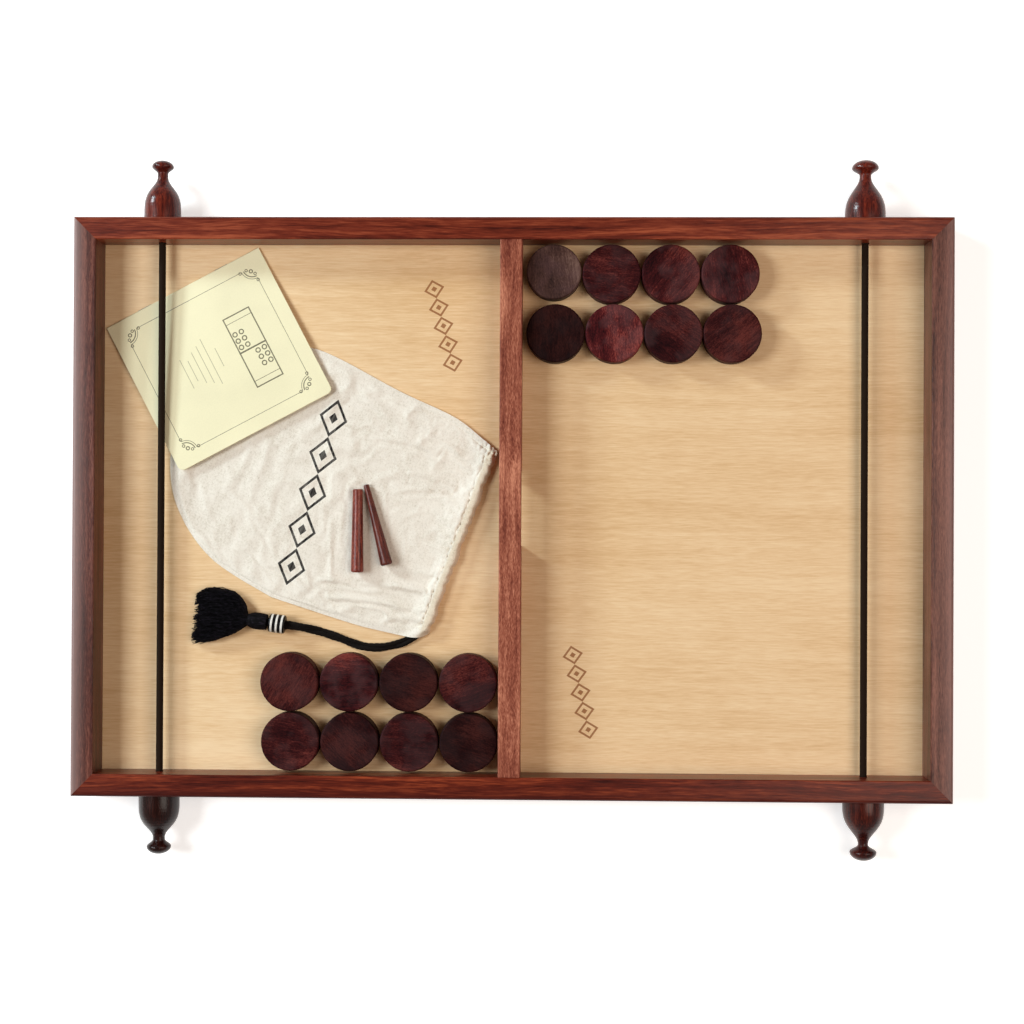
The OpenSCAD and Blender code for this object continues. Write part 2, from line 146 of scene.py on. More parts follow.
def smoothShade(piece, degrees=40):
    work(piece)
    bpy.ops.object.shade_smooth_by_angle(angle=math.radians(degrees))


def smoothStep(share):
    share = np.clip(share, 0, 1)
    return share * share * (3 - 2 * share)


def bell(off, width):    # 1 at no distance, falling away over this width
    return np.exp(-(off / width) ** 2)


def smoothLine(points, steps):    # a smooth curve through all the points
    points = [np.array(p, float) for p in points]
    line = []
    for i in range(len(points) - 1):
        a, b = points[max(i - 1, 0)], points[i]
        c, d = points[i + 1], points[min(i + 2, len(points) - 1)]
        for k in range(steps):
            t = k / steps
            line.append((2 * b + (c - a) * t + (2 * a - 5 * b + 4 * c - d) * t ** 2
                         + (3 * b - a - 3 * c + d) * t ** 3) / 2)
    return np.array(line + [points[-1]])


def lineLengths(line):    # the length of a line up to each of its points
    return np.concatenate([[0], np.cumsum(np.linalg.norm(np.diff(line, axis=0), axis=1))])


def alongLine(line, shares):    # points at these shares of a line's length
    lengths = lineLengths(line)
    wanted = np.asarray(shares) * lengths[-1]
    return np.stack([np.interp(wanted, lengths, line[:, k]) for k in range(line.shape[1])], axis=-1)


def lineDistance(places, line):    # least distance of each place from a line, which may repeat points
    best = np.full(len(places), np.inf)
    for start, end in zip(line[:-1], line[1:]):
        way = end - start
        share = np.clip((places - start) @ way / max(way @ way, 1e-18), 0, 1)
        best = np.minimum(best, np.linalg.norm(places - start - share[:, None] * way, axis=1))
    return best


# Pieces laid along a line, or turned about an axis

def mapTube(piece, along, turn, radius):    # a map in metres: along the tube, and round it
    layer = piece.data.uv_layers.active or piece.data.uv_layers.new(name="tube")
    for face in piece.data.polygons:
        turns = [turn[v] for v in face.vertices]
        if max(turns) - min(turns) > math.pi:
            turns = [t + 2 * math.pi if t < 0 else t for t in turns]
        for loop, vertex, angle in zip(face.loop_indices, face.vertices, turns):
            layer.data[loop].uv = (along[vertex], angle * radius)


def ringedCylinder(name, sides, rings):    # an upright cylinder with one ring of vertices per unit
    deselectAll()
    bpy.ops.mesh.primitive_cylinder_add(vertices=sides, radius=1, depth=rings, location=(0, 0, rings / 2))
    piece = settlePlace(bpy.context.object)
    piece.name = name
    pickEdges(piece, lambda a, b: abs(a.z - b.z) > rings / 2)
    bpy.ops.mesh.subdivide(number_cuts=rings - 1)
    editOff()
    return piece


def crossings(line):    # the sideways and the upward direction at each point of a line
    way = np.gradient(line, axis=-2)
    way /= np.linalg.norm(way, axis=-1)[..., None]
    side = np.cross(np.broadcast_to((0.0, 0.0, 1.0), way.shape), way)
    side /= np.linalg.norm(side, axis=-1)[..., None]
    return side, np.cross(way, side)


def ringAndTurn(plain, middle=0):    # the ring of an upright cylinder that a corner is on, and where
    return np.rint(plain[:, 2]).astype(int), np.arctan2(plain[:, 1], plain[:, 0] - middle)


def roundLine(places, side, up, reach, turn):    # moves points of a line out to the tube round it
    return places + (reach * np.cos(turn))[:, None] * side + (reach * np.sin(turn))[:, None] * up


def tubeAlong(name, line, sides, reachAt):    # reachAt gives the reach from the line at a ring and turn
    piece = ringedCylinder(name, sides, len(line) - 1)
    ring, turn = ringAndTurn(corners(piece))
    reach = reachAt(ring, turn)
    side, up = crossings(line)
    setCorners(piece, roundLine(line[ring], side[ring], up[ring], reach, turn))
    mapTube(piece, lineLengths(line)[ring], turn, reach.mean())
    return piece


def turnedPiece(name, profile, steps=56):    # spins a profile of (reach, height) points about Z
    deselectAll()
    bpy.ops.mesh.primitive_plane_add(size=0.002)
    piece = bpy.context.object
    piece.name = name
    editOn(piece)
    bpy.ops.mesh.select_all(action="SELECT")
    bpy.ops.mesh.merge(type="CENTER")
    bpy.ops.transform.translate(value=(profile[0][0], 0, profile[0][1]))
    for (reach, height), (nextReach, nextHeight) in zip(profile, profile[1:]):
        step = (nextReach - reach, 0, nextHeight - height)
        bpy.ops.mesh.extrude_region_move(TRANSFORM_OT_translate={"value": step})
    bpy.ops.mesh.select_all(action="SELECT")
    bpy.ops.mesh.spin(steps=steps, angle=2 * math.pi, center=(0, 0, 0), axis=(0, 0, 1))
    bpy.ops.mesh.select_all(action="SELECT")
    bpy.ops.mesh.remove_doubles(threshold=1e-6)
    bpy.ops.mesh.normals_make_consistent(inside=False)
    editOff()
    return piece


def lieAlong(piece, place, way):    # turns a piece's Z axis to a direction and puts its origin at a place
    piece.rotation_mode = "QUATERNION"
    piece.rotation_quaternion = Vector(way).to_track_quat("Z", "Y")
    piece.location = place
    settlePlace(piece)
    piece.rotation_mode = "XYZ"
    return piece


# Camera, lamps, world and the table

photoView = {
    "place": (0.0364, -0.0114, 1.4291),
    "turn": (0.006, 0.025, 0.005),
    "lens": 57.48,
    "farthest": 50,
}
lamps = {    # a high softbox and a low window at the left, and a broad warm softbox at the right
    "leftBox": {"place": (-1.56, 0.12, 1.68), "size": 0.75, "power": 28, "shade": (0.92, 0.98, 1)},
    "leftWindow": {"place": (-1.87, 1.17, 0.94), "size": 0.36, "power": 32, "shade": (0.78, 0.94, 1)},
    "rightBox": {"place": (0.95, -0.1, 1.53), "size": 1.15, "power": 15.2, "shade": (1, 0.88, 0.78)},
}
studio = {
    "skyLight": 0.11,
    "skyShade": (1, 0.68, 0.48),
    "mirrored": (0.4, 0.06),    # what a glossy surface mirrors from low down, and from overhead
    "mirroredClimb": (0.4, 0.95),    # how steeply up those two are mirrored from
    "tableSize": 12.0,
    "tableDrop": 0.0002,
    "tableShade": 0.9,
    "tableRoughness": 0.9,
    "tableGlow": (0.55, 1.0),
    "tableFade": (0.7, 2.2),    # distances from the middle between which the glow grows
}


def addCamera():
    bpy.ops.object.camera_add(location=photoView["place"], rotation=photoView["turn"])
    camera = bpy.context.object
    camera.data.lens = photoView["lens"]
    camera.data.clip_end = photoView["farthest"]
    bpy.context.scene.camera = camera


def addLamp(name, lamp):
    towards = Vector((0, 0, floorTop)) - Vector(lamp["place"])
    turn = towards.to_track_quat("-Z", "Y").to_euler()
    bpy.ops.object.light_add(type="AREA", location=lamp["place"], rotation=turn)
    made = bpy.context.object
    made.name = name
    made.data.size = lamp["size"]
    made.data.energy = lamp["power"]
    made.data.color = lamp["shade"]
    made.visible_camera = False


# Small helpers for materials

def srgb(shade, tone=1):    # a shade as a screen shows it, 0 to 255, and its tone, to linear colour
    shares = [min(255, tone * c) / 255 for c in shade]
    return [s / 12.92 if s <= 0.04045 else ((s + 0.055) / 1.055) ** 2.4 for s in shares] + [1]


def turnBy(degrees):
    return (0, 0, math.radians(degrees))


def addNode(tree, kind, inputs=None, **settings):
    node = tree.nodes.new(kind)
    for key, value in settings.items():
        setattr(node, key, value)
    for key, value in (inputs or {}).items():
        if isinstance(value, bpy.types.NodeSocket):
            tree.links.new(value, node.inputs[key])
        else:
            node.inputs[key].default_value = value
    return node


def maths(tree, operation, *values):
    inputs = dict(enumerate(values))
    return addNode(tree, "ShaderNodeMath", inputs, operation=operation).outputs[0]


def times(tree, one, other):
    return maths(tree, "MULTIPLY", one, other)


def minus(tree, one, other):
    return maths(tree, "SUBTRACT", one, other)


def apart(tree, one, other):    # how far two values are apart
    return maths(tree, "ABSOLUTE", minus(tree, one, other))


def largest(tree, *values):
    most = values[0]
    for value in values[1:]:
        most = maths(tree, "MAXIMUM", most, value)
    return most


def weighed(tree, values, weights):    # the sum of values, each times its weight
    total = times(tree, values[0], weights[0])
    for value, weight in zip(values[1:], weights[1:]):
        total = maths(tree, "MULTIPLY_ADD", value, weight, total)
    return total


def mapRange(tree, value, start, end, low=0, high=1):
    return addNode(tree, "ShaderNodeMapRange", {"Value": value, "From Min": start, "From Max": end,
                                                "To Min": low, "To Max": high}).outputs[0]


def axesOf(tree, vector):
    return addNode(tree, "ShaderNodeSeparateXYZ", {0: vector}).outputs


def mixColour(tree, share, one, other, blend="MIX"):
    return addNode(tree, "ShaderNodeMix", {0: share, 6: one, 7: other}, data_type="RGBA",
                   blend_type=blend).outputs[2]


def newMaterial(name, look):
    material = bpy.data.materials.new(name)
    material.use_nodes = True
    tree = material.node_tree
    shader = tree.nodes["Principled BSDF"]
    for key, socket in (("roughness", "Roughness"), ("specular", "Specular IOR Level"),
                        ("sheen", "Sheen Weight"), ("metal", "Metallic")):
        shader.inputs[socket].default_value = look.get(key, 0)
    return material, tree, shader


def paint(tree, shader, colour):
    tree.links.new(colour, shader.inputs["Base Color"])


def objectPlace(tree):
    return addNode(tree, "ShaderNodeTexCoord").outputs["Object"]


def laid(tree, vector, turn=(0, 0, 0), shift=(0, 0, 0), stretch=(1, 1, 1)):
    return addNode(tree, "ShaderNodeMapping", {"Vector": vector, "Rotation": turn,
                                               "Location": shift, "Scale": stretch}).outputs[0]


def noiseOn(tree, vector, scale, detail=3, roughness=0.55, give="Fac"):
    return addNode(tree, "ShaderNodeTexNoise", {"Vector": vector, "Scale": scale, "Detail": detail,
                                                "Roughness": roughness}).outputs[give]


def waveOn(tree, vector, scale, distortion=0, bands="X"):
    return addNode(tree, "ShaderNodeTexWave", {"Vector": vector, "Scale": scale, "Distortion": distortion,
                                               "Detail": 2, "Detail Scale": 3},
                   bands_direction=bands).outputs["Fac"]


def shadeRamp(tree, value, stops, colours):
    ramp = addNode(tree, "ShaderNodeValToRGB", {"Fac": value})
    while len(ramp.color_ramp.elements) < len(stops):
        ramp.color_ramp.elements.new(0.5)
    for element, stop, colour in zip(ramp.color_ramp.elements, stops, colours):
        element.position = stop
        element.color = colour
    return ramp.outputs["Color"]


def tonesOf(look, shade):    # one shade in the tones of a look
    return [srgb(shade, tone) for tone in look["tones"]]


def addBump(tree, shader, height, look):
    bump = addNode(tree, "ShaderNodeBump", {"Height": height, "Distance": look["depth"],
                                            "Strength": look["relief"]})
    tree.links.new(bump.outputs[0], shader.inputs["Normal"])


def streakedFinish(name, look, colours):    # one noise, drawn out along X, in a few colours
    material, tree, shader = newMaterial(name, look)
    place = laid(tree, objectPlace(tree), stretch=(look["pull"], 1, 1))
    streak = noiseOn(tree, place, *look["streak"])
    paint(tree, shader, shadeRamp(tree, streak, look["stops"], colours))
    if "relief" in look:
        addBump(tree, shader, streak, look)
    return material


def wear(piece, material):    # puts a material on every slot of a piece
    if not piece.material_slots:
        piece.data.materials.append(material)
    for slot in piece.material_slots:
        slot.material = material


# Rows of lozenges with filled hearts, used for the burnt marks and the bag's print

def lozengeRow(tree, vector, marks):
    pitch, line = marks["pitch"], marks["line"]
    axes = axesOf(tree, vector)
    across = maths(tree, "DIVIDE", maths(tree, "ABSOLUTE", axes["Y"]), marks["halfWidth"])
    beat = maths(tree, "DIVIDE", maths(tree, "PINGPONG", axes["X"], pitch / 2), pitch / 2)
    reach = maths(tree, "ADD", across, beat)
    drawn = largest(tree, maths(tree, "LESS_THAN", apart(tree, reach, 1 - line), line),
                    maths(tree, "LESS_THAN", reach, marks["heart"]))
    within = maths(tree, "LESS_THAN", maths(tree, "ABSOLUTE", axes["X"]), pitch * marks["count"] / 2)
    return times(tree, drawn, within)


def printRows(tree, place, colour, marks, share):    # a row has its middle's x and y and its heading
    for x, y, heading in marks["rows"]:
        centred = laid(tree, place, shift=(-x, -y, 0))
        drawn = lozengeRow(tree, laid(tree, centred, turn=turnBy(-heading)), marks)
        colour = mixColour(tree, times(tree, drawn, share), colour, srgb(marks["ink"]))
    return colour


# Woods

woodGrain = {    # what all the woods share
    "stops": (0.38, 0.5, 0.62), "wanderPull": 0.3, "rough": (0.6, 0.55, 0.55), "uneven": 0.07,
    "depth": 0.00025, "relief": 0.35,
}
longRailLook = {
    "dark": (54, 13, 9), "mid": (100, 34, 20), "light": (158, 70, 40),
    "fine": 1100, "streak": 190, "cloud": 20, "weights": (0.38, 0.42, 0.2), "pull": (0.05, 0.028, 0.3),
    "wander": 11, "wanderSize": 0.009, "roughness": 0.3, "specular": 0.22,
}
rearRailLook = dict(longRailLook, mid=(112, 42, 26), light=(160, 78, 50))
endRailLook = {
    "dark": (44, 18, 15), "mid": (84, 43, 35), "light": (128, 76, 62),
    "fine": 1500, "streak": 260, "cloud": 22, "weights": (0.4, 0.38, 0.22), "pull": (0.12, 0.03, 0.3),
    "wander": 11, "wanderSize": 0.008, "roughness": 0.3, "specular": 0.22,
}
rightRailLook = dict(endRailLook, mid=(98, 56, 46), light=(136, 86, 72))
dividerLook = {
    "dark": (94, 36, 26), "mid": (149, 82, 62), "light": (204, 134, 106),
    "fine": 1700, "streak": 300, "cloud": 36, "weights": (0.44, 0.32, 0.24), "pull": (0.16, 0.05, 0.4),
    "wander": 26, "wanderSize": 0.009, "roughness": 0.42, "specular": 0.2,
}
floorLook = {
    "dark": (218, 180, 133), "mid": (232, 198, 154), "light": (242, 213, 172),
    "fine": 900, "streak": 130, "cloud": 9, "weights": (0.38, 0.2, 0.42), "pull": (0.07, 0.03, 0.4),
    "wander": 7, "wanderSize": 0.005, "roughness": 0.42, "specular": 0.2,
}
puckLook = {
    "dark": (19, 5, 9), "mid": (56, 18, 20), "light": (110, 51, 46),
    "fine": 1800, "streak": 620, "cloud": 34, "weights": (0.34, 0.2, 0.46), "pull": (0.28, 0.12, 0.6),
    "wander": 30, "wanderSize": 0.006, "roughness": 0.5, "specular": 0.04,
}
puckPatches = {"shade": (76, 55, 57), "size": 52, "patch": (0.44, 0.62), "share": 0.32}
greyPuckLook = dict(puckLook, dark=(38, 26, 25), mid=(66, 46, 42), light=(98, 76, 68))
finialLook = {
    "dark": (34, 8, 7), "mid": (66, 18, 13), "light": (108, 40, 26),
    "fine": 1300, "streak": 420, "cloud": 40, "weights": (0.4, 0.35, 0.25), "pull": (0.1, 0.05, 0.4),
    "wander": 30, "wanderSize": 0.004, "roughness": 0.22, "specular": 0.3,
}
pegLook = {
    "dark": (52, 12, 10), "mid": (108, 41, 31), "light": (172, 90, 72),
    "fine": 2100, "streak": 700, "cloud": 60, "weights": (0.42, 0.33, 0.25), "pull": (0.2, 0.06, 0.4),
    "wander": 40, "wanderSize": 0.002, "roughness": 0.3, "specular": 0.3,
}
joineryLook = dict(floorLook, roughness=0.6)
puckSeed = 7
puckGrain = {    # heading of each puck's grain in degrees, and how pale its wood is
    "right": [(92, 1.18), (-8, 1.02), (52, 1.12), (100, 1.12),
              (88, 0.5), (94, 1.37), (-35, 0.96), (40, 0.87)],
    "left": [(-20, 0.59), (-5, 0.95), (-45, 0.72), (-10, 0.93),
             (20, 0.96), (-15, 0.63), (0, 1.12), (60, 0.86)],
}
pegGrain = {"a": (-90, 1.05), "b": (-75, 0.82)}
finialTints = {"rear_left": 1.1, "rear_right": 1.15, "front_left": 0.5, "front_right": 0.85}
woodShifts = {    # where in the timber each piece is cut
    "divider": (0.2, 0.4, 0), "floor": (0.7, 0.2, 0), "joinery": (0.1, 0.3, 0), "finial": (0.37, 0.21, 0),
    "peg": (0, 0.3, 0),
}
alongY = turnBy(-90)    # turns a pattern that runs along X to run along Y
railWoods = {    # each rail's look, and its grain's turn and shift
    "front_rail": (longRailLook, (0, 0, 0), (0, 0, 0.2)),
    "rear_rail": (rearRailLook, (0, 0, 0), (0.3, 0.11, 0.2)),
    "left_end_rail": (endRailLook, alongY, (0.5, 0, 0)),
    "right_end_rail": (rightRailLook, alongY, (0.8, 0.17, 0)),
}
rimFade = {"depth": (0.009, 0.003), "left": 0.12}    # how far below the rails' top the painted rim sheen and tone reach, and what stays lower
railRimSheenAndTone = {    # the rails' colour towards the board's outer edges: painted sheen on the end rails, darker on the long rails
    "left_end_rail": {"axis": "X", "shade": (158, 132, 128), "share": 1.0, "power": 2.6},
    "right_end_rail": {"axis": "X", "shade": (138, 106, 102), "share": 0.8, "power": 3},
    "front_rail": {"axis": "Y", "shade": (66, 20, 16), "share": 0.75, "power": 1.7},
    "rear_rail": {"axis": "Y", "shade": (98, 36, 22), "share": 0.3, "power": 1.7},
}
burntMarks = {
    "rows": [(-0.0595, 0.1584, 104.4), (0.061, -0.159, 102)], "pitch": 0.0165, "halfWidth": 0.009,
    "count": 5, "line": 0.14, "heart": 0.3, "ink": (142, 86, 46), "share": 0.85,
}


def woodFinish(name, look, turn=(0, 0, 0), shift=(0, 0, 0), over=None, tint=1.0):
    material, tree, shader = newMaterial(name, look)
    place = objectPlace(tree)
    grain = laid(tree, place, turn, shift)
    slow = noiseOn(tree, laid(tree, grain, stretch=(woodGrain["wanderPull"], 1, 1)), look["wander"], 2,
                   give="Color")
    centred = addNode(tree, "ShaderNodeVectorMath", {0: slow, 1: (0.5, 0.5, 0.5)},
                      operation="SUBTRACT").outputs[0]
    push = 2 * look["wanderSize"]
    pushed = addNode(tree, "ShaderNodeVectorMath", {0: centred, 1: (0, push, push), 2: grain},
                     operation="MULTIPLY_ADD").outputs[0]
    noises = [    # each drawn out along the grain by its own pull
        noiseOn(tree, laid(tree, pushed, stretch=(pull, 1, 1)), look[kind], 3, rough)
        for kind, pull, rough in zip(("fine", "streak", "cloud"), look["pull"], woodGrain["rough"])]
    value = weighed(tree, noises, look["weights"])
    colour = shadeRamp(tree, value, woodGrain["stops"],
                       [srgb(look[part], tint) for part in ("dark", "mid", "light")])
    if over:
        colour = over(tree, place, colour)
    paint(tree, shader, colour)
    polish = mapRange(tree, noises[0], 0, 1, look["roughness"] - woodGrain["uneven"],
                      look["roughness"] + woodGrain["uneven"])
    tree.links.new(polish, shader.inputs["Roughness"])
    addBump(tree, shader, noises[0], woodGrain)
    return material


def burnMarks(tree, place, colour):
    return printRows(tree, place, colour, burntMarks, burntMarks["share"])


def rimSheenAndTone(name):    # a rail's colour towards the board's outer edges: painted sheen on the end rails, darker on the long rails
    low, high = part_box(name)
    rim = railRimSheenAndTone[name]
    axis = "XY".index(rim["axis"])
    inner, outer = sorted((abs(low[axis]), abs(high[axis])))

    def over(tree, place, colour):
        axes = axesOf(tree, place)
        way = mapRange(tree, maths(tree, "ABSOLUTE", axes[axis]), inner, outer)
        fade = mapRange(tree, axes["Z"], *[high.z - depth for depth in rimFade["depth"]],
                        rimFade["left"], rim["share"])
        amount = times(tree, maths(tree, "POWER", way, rim["power"]), fade)
        return mixColour(tree, amount, colour, srgb(rim["shade"]))

    return over


def purplishPatches(tint):    # dull, purplish patches scattered at random over a puck
    def over(tree, place, colour):
        patch = noiseOn(tree, place, puckPatches["size"], 2)
        amount = mapRange(tree, patch, *puckPatches["patch"], 0, puckPatches["share"])
        return mixColour(tree, amount, colour, srgb(puckPatches["shade"], tint))

    return over


def dressWood():
    for name, (look, turn, shift) in railWoods.items():
        wear(cadNodes[name], woodFinish(name + "Wood", look, turn, shift, rimSheenAndTone(name)))
    wear(cadNodes["divider"], woodFinish("dividerWood", dividerLook, alongY, woodShifts["divider"]))
    wear(cadNodes["base_panel"],
         woodFinish("floorPly", floorLook, shift=woodShifts["floor"], over=burnMarks))
    joinery = woodFinish("joineryWood", joineryLook, shift=woodShifts["joinery"])
    for name in ("corner_splines", "divider_dowels"):
        wear(cadNodes[name], joinery)

    draw = random.Random(puckSeed)
    for side, grains in puckGrain.items():
        for i, (heading, tint) in enumerate(grains):
            name = f"{side}_puck_{i + 1}"
            shift = [draw.uniform(-1, 1) for _ in range(3)]
            look = greyPuckLook if name == "right_puck_1" else puckLook
            wear(cadNodes[name],
                 woodFinish(name + "Wood", look, turnBy(-heading), shift, purplishPatches(tint), tint))
    for i, (place, tint) in enumerate(finialTints.items()):
        shift = [i * step for step in woodShifts["finial"]]
        wear(cadNodes[place + "_finial"],
             woodFinish(place + "FinialWood", finialLook, alongY, shift, tint=tint))
    for letter, (heading, tint) in pegGrain.items():
        wear(cadNodes["tensioning_peg_" + letter],
             woodFinish(f"peg{letter.upper()}Wood", pegLook, turnBy(-heading), woodShifts["peg"],
                        tint=tint))
    print("woods done")


# The table under the board, and the room round it

def addStudio():
    scene = bpy.context.scene
    scene.view_settings.view_transform = "Standard"
    world = bpy.data.worlds.new("paleRoom")
    scene.world = world
    world.use_nodes = True
    tree = world.node_tree
    path = addNode(tree, "ShaderNodeLightPath").outputs
    way = addNode(tree, "ShaderNodeTexCoord").outputs["Generated"]
    room = mapRange(tree, axesOf(tree, way)["Z"], *studio["mirroredClimb"], *studio["mirrored"])
    seen = largest(tree, path["Is Camera Ray"], path["Is Transmission Ray"],
                   times(tree, path["Is Glossy Ray"], room))
    light = [studio["skyLight"] * c for c in studio["skyShade"]] + [1]
    tree.links.new(mixColour(tree, seen, light, (1, 1, 1, 1)), tree.nodes["Background"].inputs["Color"])

    deselectAll()
    bpy.ops.mesh.primitive_plane_add(size=studio["tableSize"], location=(0, 0, -studio["tableDrop"]))
    table = bpy.context.object
    table.name = "table"
    material, tree, shader = newMaterial("tableTop", {"roughness": studio["tableRoughness"]})
    shader.inputs["Base Color"].default_value = [studio["tableShade"]] * 3 + [1]
    shader.inputs["Emission Color"].default_value = (1, 1, 1, 1)
    path = addNode(tree, "ShaderNodeLightPath").outputs
    seen = largest(tree, path["Is Camera Ray"], path["Is Glossy Ray"], path["Is Transmission Ray"])
    away = addNode(tree, "ShaderNodeVectorMath", {0: objectPlace(tree)},
                   operation="LENGTH").outputs["Value"]
    glow = mapRange(tree, away, *studio["tableFade"], *studio["tableGlow"])
    tree.links.new(times(tree, seen, glow), shader.inputs["Emission Strength"])
    wear(table, material)
    for name, lamp in lamps.items():
        addLamp(name, lamp)
    print("studio done")


# Slings: an elastic braid in two halves, each a straight tube from the middle to one end

sling = {"sides": 28, "rings": 64, "shade": (33, 20, 10), "braid": 0.0011}
braidLook = {
    "roughness": 0.8, "specular": 0.1, "sheen": 0.03, "slant": 45, "strand": 0.314, "fuzz": 2500,
    "weights": (0.6, 0.5), "stops": (0.15, 0.5, 0.9), "depth": 0.0003, "relief": 0.6,
    "dark": 0.5, "light": (1.5, 6),    # a tone each, and what the light one gets besides
}


def braidFinish(name, shade, pitch):
    look = braidLook
    material, tree, shader = newMaterial(name, look)
    uv = addNode(tree, "ShaderNodeTexCoord").outputs["UV"]
    strands = [waveOn(tree, laid(tree, uv, turn=turnBy(lean * look["slant"])), look["strand"] / pitch)
               for lean in (-1, 1)]
    value = weighed(tree, (times(tree, *strands), noiseOn(tree, uv, look["fuzz"], 2)), look["weights"])
    factor, more = look["light"]
    light = [factor * c + more for c in shade]
    paint(tree, shader, shadeRamp(tree, value, look["stops"],
                                  [srgb(shade, look["dark"]), srgb(shade), srgb(light)]))
    addBump(tree, shader, value, look)
    return material


def slingHalf(side, end, material):
    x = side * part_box("right_sling_cord")[1].x - side * sling["radius"]
    z = sling["height"]
    reach = sling["reach"]
    deselectAll()
    bpy.ops.mesh.primitive_cylinder_add(vertices=sling["sides"], radius=sling["radius"], depth=reach,
                                        location=(x, end * reach / 2, z),
                                        rotation=(math.radians(90), 0, 0))
    piece = settlePlace(bpy.context.object)
    sideName = "left" if side < 0 else "right"
    endName = "front" if end < 0 else "rear"
    piece.name = f"{sideName}_sling_{endName}_half"
    pickEdges(piece, lambda a, b: abs(a.y - b.y) > reach / 2)
    bpy.ops.mesh.subdivide(number_cuts=sling["rings"])
    editOff()
    places = corners(piece)
    mapTube(piece, places[:, 1], np.arctan2(places[:, 2] - z, places[:, 0] - x), sling["radius"])
    smoothShade(piece, 60)
    wear(piece, material)
    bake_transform(piece)
    return piece


def addSlings():
    low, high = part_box("right_sling_cord")
    sling["radius"] = (high.z - low.z) / 2
    sling["height"] = (high.z + low.z) / 2
    sling["reach"] = high.y
    sling["mouth"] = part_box("rear_rail")[0].y    # inner face of the rear rail
    material = braidFinish("slingBraid", sling["shade"], sling["braid"])
    for side, name in ((-1, "left"), (1, "right")):
        halves = [slingHalf(side, end, material) for end in (-1, 1)]
        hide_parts(f"{name}_sling_cord")
        wear(cadNodes[f"{name}_sling_knots"], material)
    print("slings done")


# Drawcord, bead and tassel

drawcord = {
    "route": [    # in the bag's frame: x, y, and the share of the climb from the floor to the bead
        (-0.067, -0.1075, 0), (-0.074, -0.1128, 0), (-0.082, -0.1168, 0), (-0.092, -0.1195, 0),
        (-0.101, -0.121, 0), (-0.110, -0.121, 0), (-0.119, -0.1195, 0), (-0.128, -0.1165, 0),
        (-0.137, -0.113, 0), (-0.146, -0.110, 0), (-0.154, -0.1075, 0.12), (-0.162, -0.1053, 0.52),
        (-0.169, -0.1037, 0.9), (-0.176, -0.1025, 1), (-0.183, -0.1016, 1), (-0.190, -0.1007, 1),
        (-0.199, -0.09955, 1),
    ],
    "rings": 110, "sides": 24, "strandRadius": 0.0019, "strandOffset": 0.00185, "lift": 0.0022,
    "twist": 0.6, "twistWaves": 3.5, "lay": 0.00016, "lays": 3, "layWaves": 30, "shade": (17, 11, 8),
    "braid": 0.0011, "diameter": 0.0075, "steps": 8,
}
bead = {
    "length": 0.014, "radius": 0.008, "bore": 0.0044, "round": 0.0015, "boreRound": 0.0005,
    "groove": 0.00012, "ringPlaces": (-0.0044, 0, 0.0044), "ringHalf": 0.0009,
    "black": (9, 8, 10), "white": (236, 233, 226),
}
lacquerLook = {
    "roughness": 0.3, "specular": 0.22, "pull": 1, "streak": (900, 3, 0.55),
    "stops": (0.3, 0.7), "tones": (0.88, 1.06), "depth": 0.00008, "relief": 0.4,
}
tasselHead = {
    "length": 0.017, "radius": 0.0074, "widest": 0.008, "startDrop": 0.0010, "endDrop": 0.0025,
    "dropPower": 2.2, "winding": 0.001, "windingSteps": 6, "windingDepth": 0.0003, "endReach": 0.6,
    "endGap": 0.0001, "shade": (17, 15, 19),
}
yarnLook = {
    "roughness": 0.75, "specular": 0.09, "pull": 0.28, "streak": (760, 4, 0.7),
    # the palest tone is painted highlight: pale streaks along the strands
    "stops": (0.4, 0.52, 0.64), "tones": (0.2, 0.8, 2.3),
}
skirt = {
    "upper": [(0, 0.004), (-0.002, 0.013), (-0.008, 0.0215), (-0.018, 0.0262), (-0.032, 0.0275),
              (-0.046, 0.0225)],
    "lower": [(0, -0.0042), (-0.006, -0.0085), (-0.012, -0.0118), (-0.019, -0.0147), (-0.034, -0.0188),
              (-0.050, -0.0205)],
    "middle": [0.0082, 0.0072, 0.0068, 0.0065, 0.0056, 0.0042],    # over the floor, at the same steps
    "half": [0.0043, 0.0058, 0.0061, 0.0060, 0.0050, 0.0036],
    "strands": 640, "wisps": 22, "rings": 10, "radius": 0.00045, "spacing": 4, "seed": 11,
    "reach": (0.9, 1.0), "wispReach": (0.02, 0.12), "clumps": ((9, 1.3), (23, 0)), "clumpReach": 0.018,
    "crimp": 0.0013, "crimpWaves": (16, 34), "crimpRise": 0.4, "stray": 0.0009, "strayPower": 2.5,
    "crown": 0.75, "taper": 0.35, "clear": 0.0002,
}


def drawcordLine():
    route = smoothLine(drawcord["route"], drawcord["steps"])
    low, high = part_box("drawcord_bead")
    lying = floorTop + drawcord["lift"]
    height = lying + ((low.z + high.z) / 2 - lying) * np.clip(route[:, 2], 0, 1)
    line = np.column_stack([bagCorner.x + route[:, 0], bagCorner.y + route[:, 1], height])
    return alongLine(line, np.linspace(0, 1, drawcord["rings"] + 1))


def addDrawcord():
    line = drawcordLine()
    offset, radius = drawcord["strandOffset"], drawcord["strandRadius"]

    def twoStrands(ring, turn):    # the outline of two round strands side by side, slowly twisting
        way = ring / drawcord["rings"] * 2 * math.pi
        angle = turn - drawcord["twist"] * np.sin(way * drawcord["twistWaves"])
        rope = drawcord["lay"] * np.sin(drawcord["lays"] * angle + way * drawcord["layWaves"])
        return offset * np.abs(np.cos(angle)) + np.sqrt(radius ** 2 - (offset * np.sin(angle)) ** 2) + rope

    piece = tubeAlong("bag_drawcord_braid", line, drawcord["sides"], twoStrands)
    smoothShade(piece, 70)
    wear(piece, braidFinish("drawcordBraid", drawcord["shade"], drawcord["braid"]))
    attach(piece, "board")
    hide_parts("bag_drawcord")
    going = [addBead(line), *addTassel(line)]
    print("drawcord done")


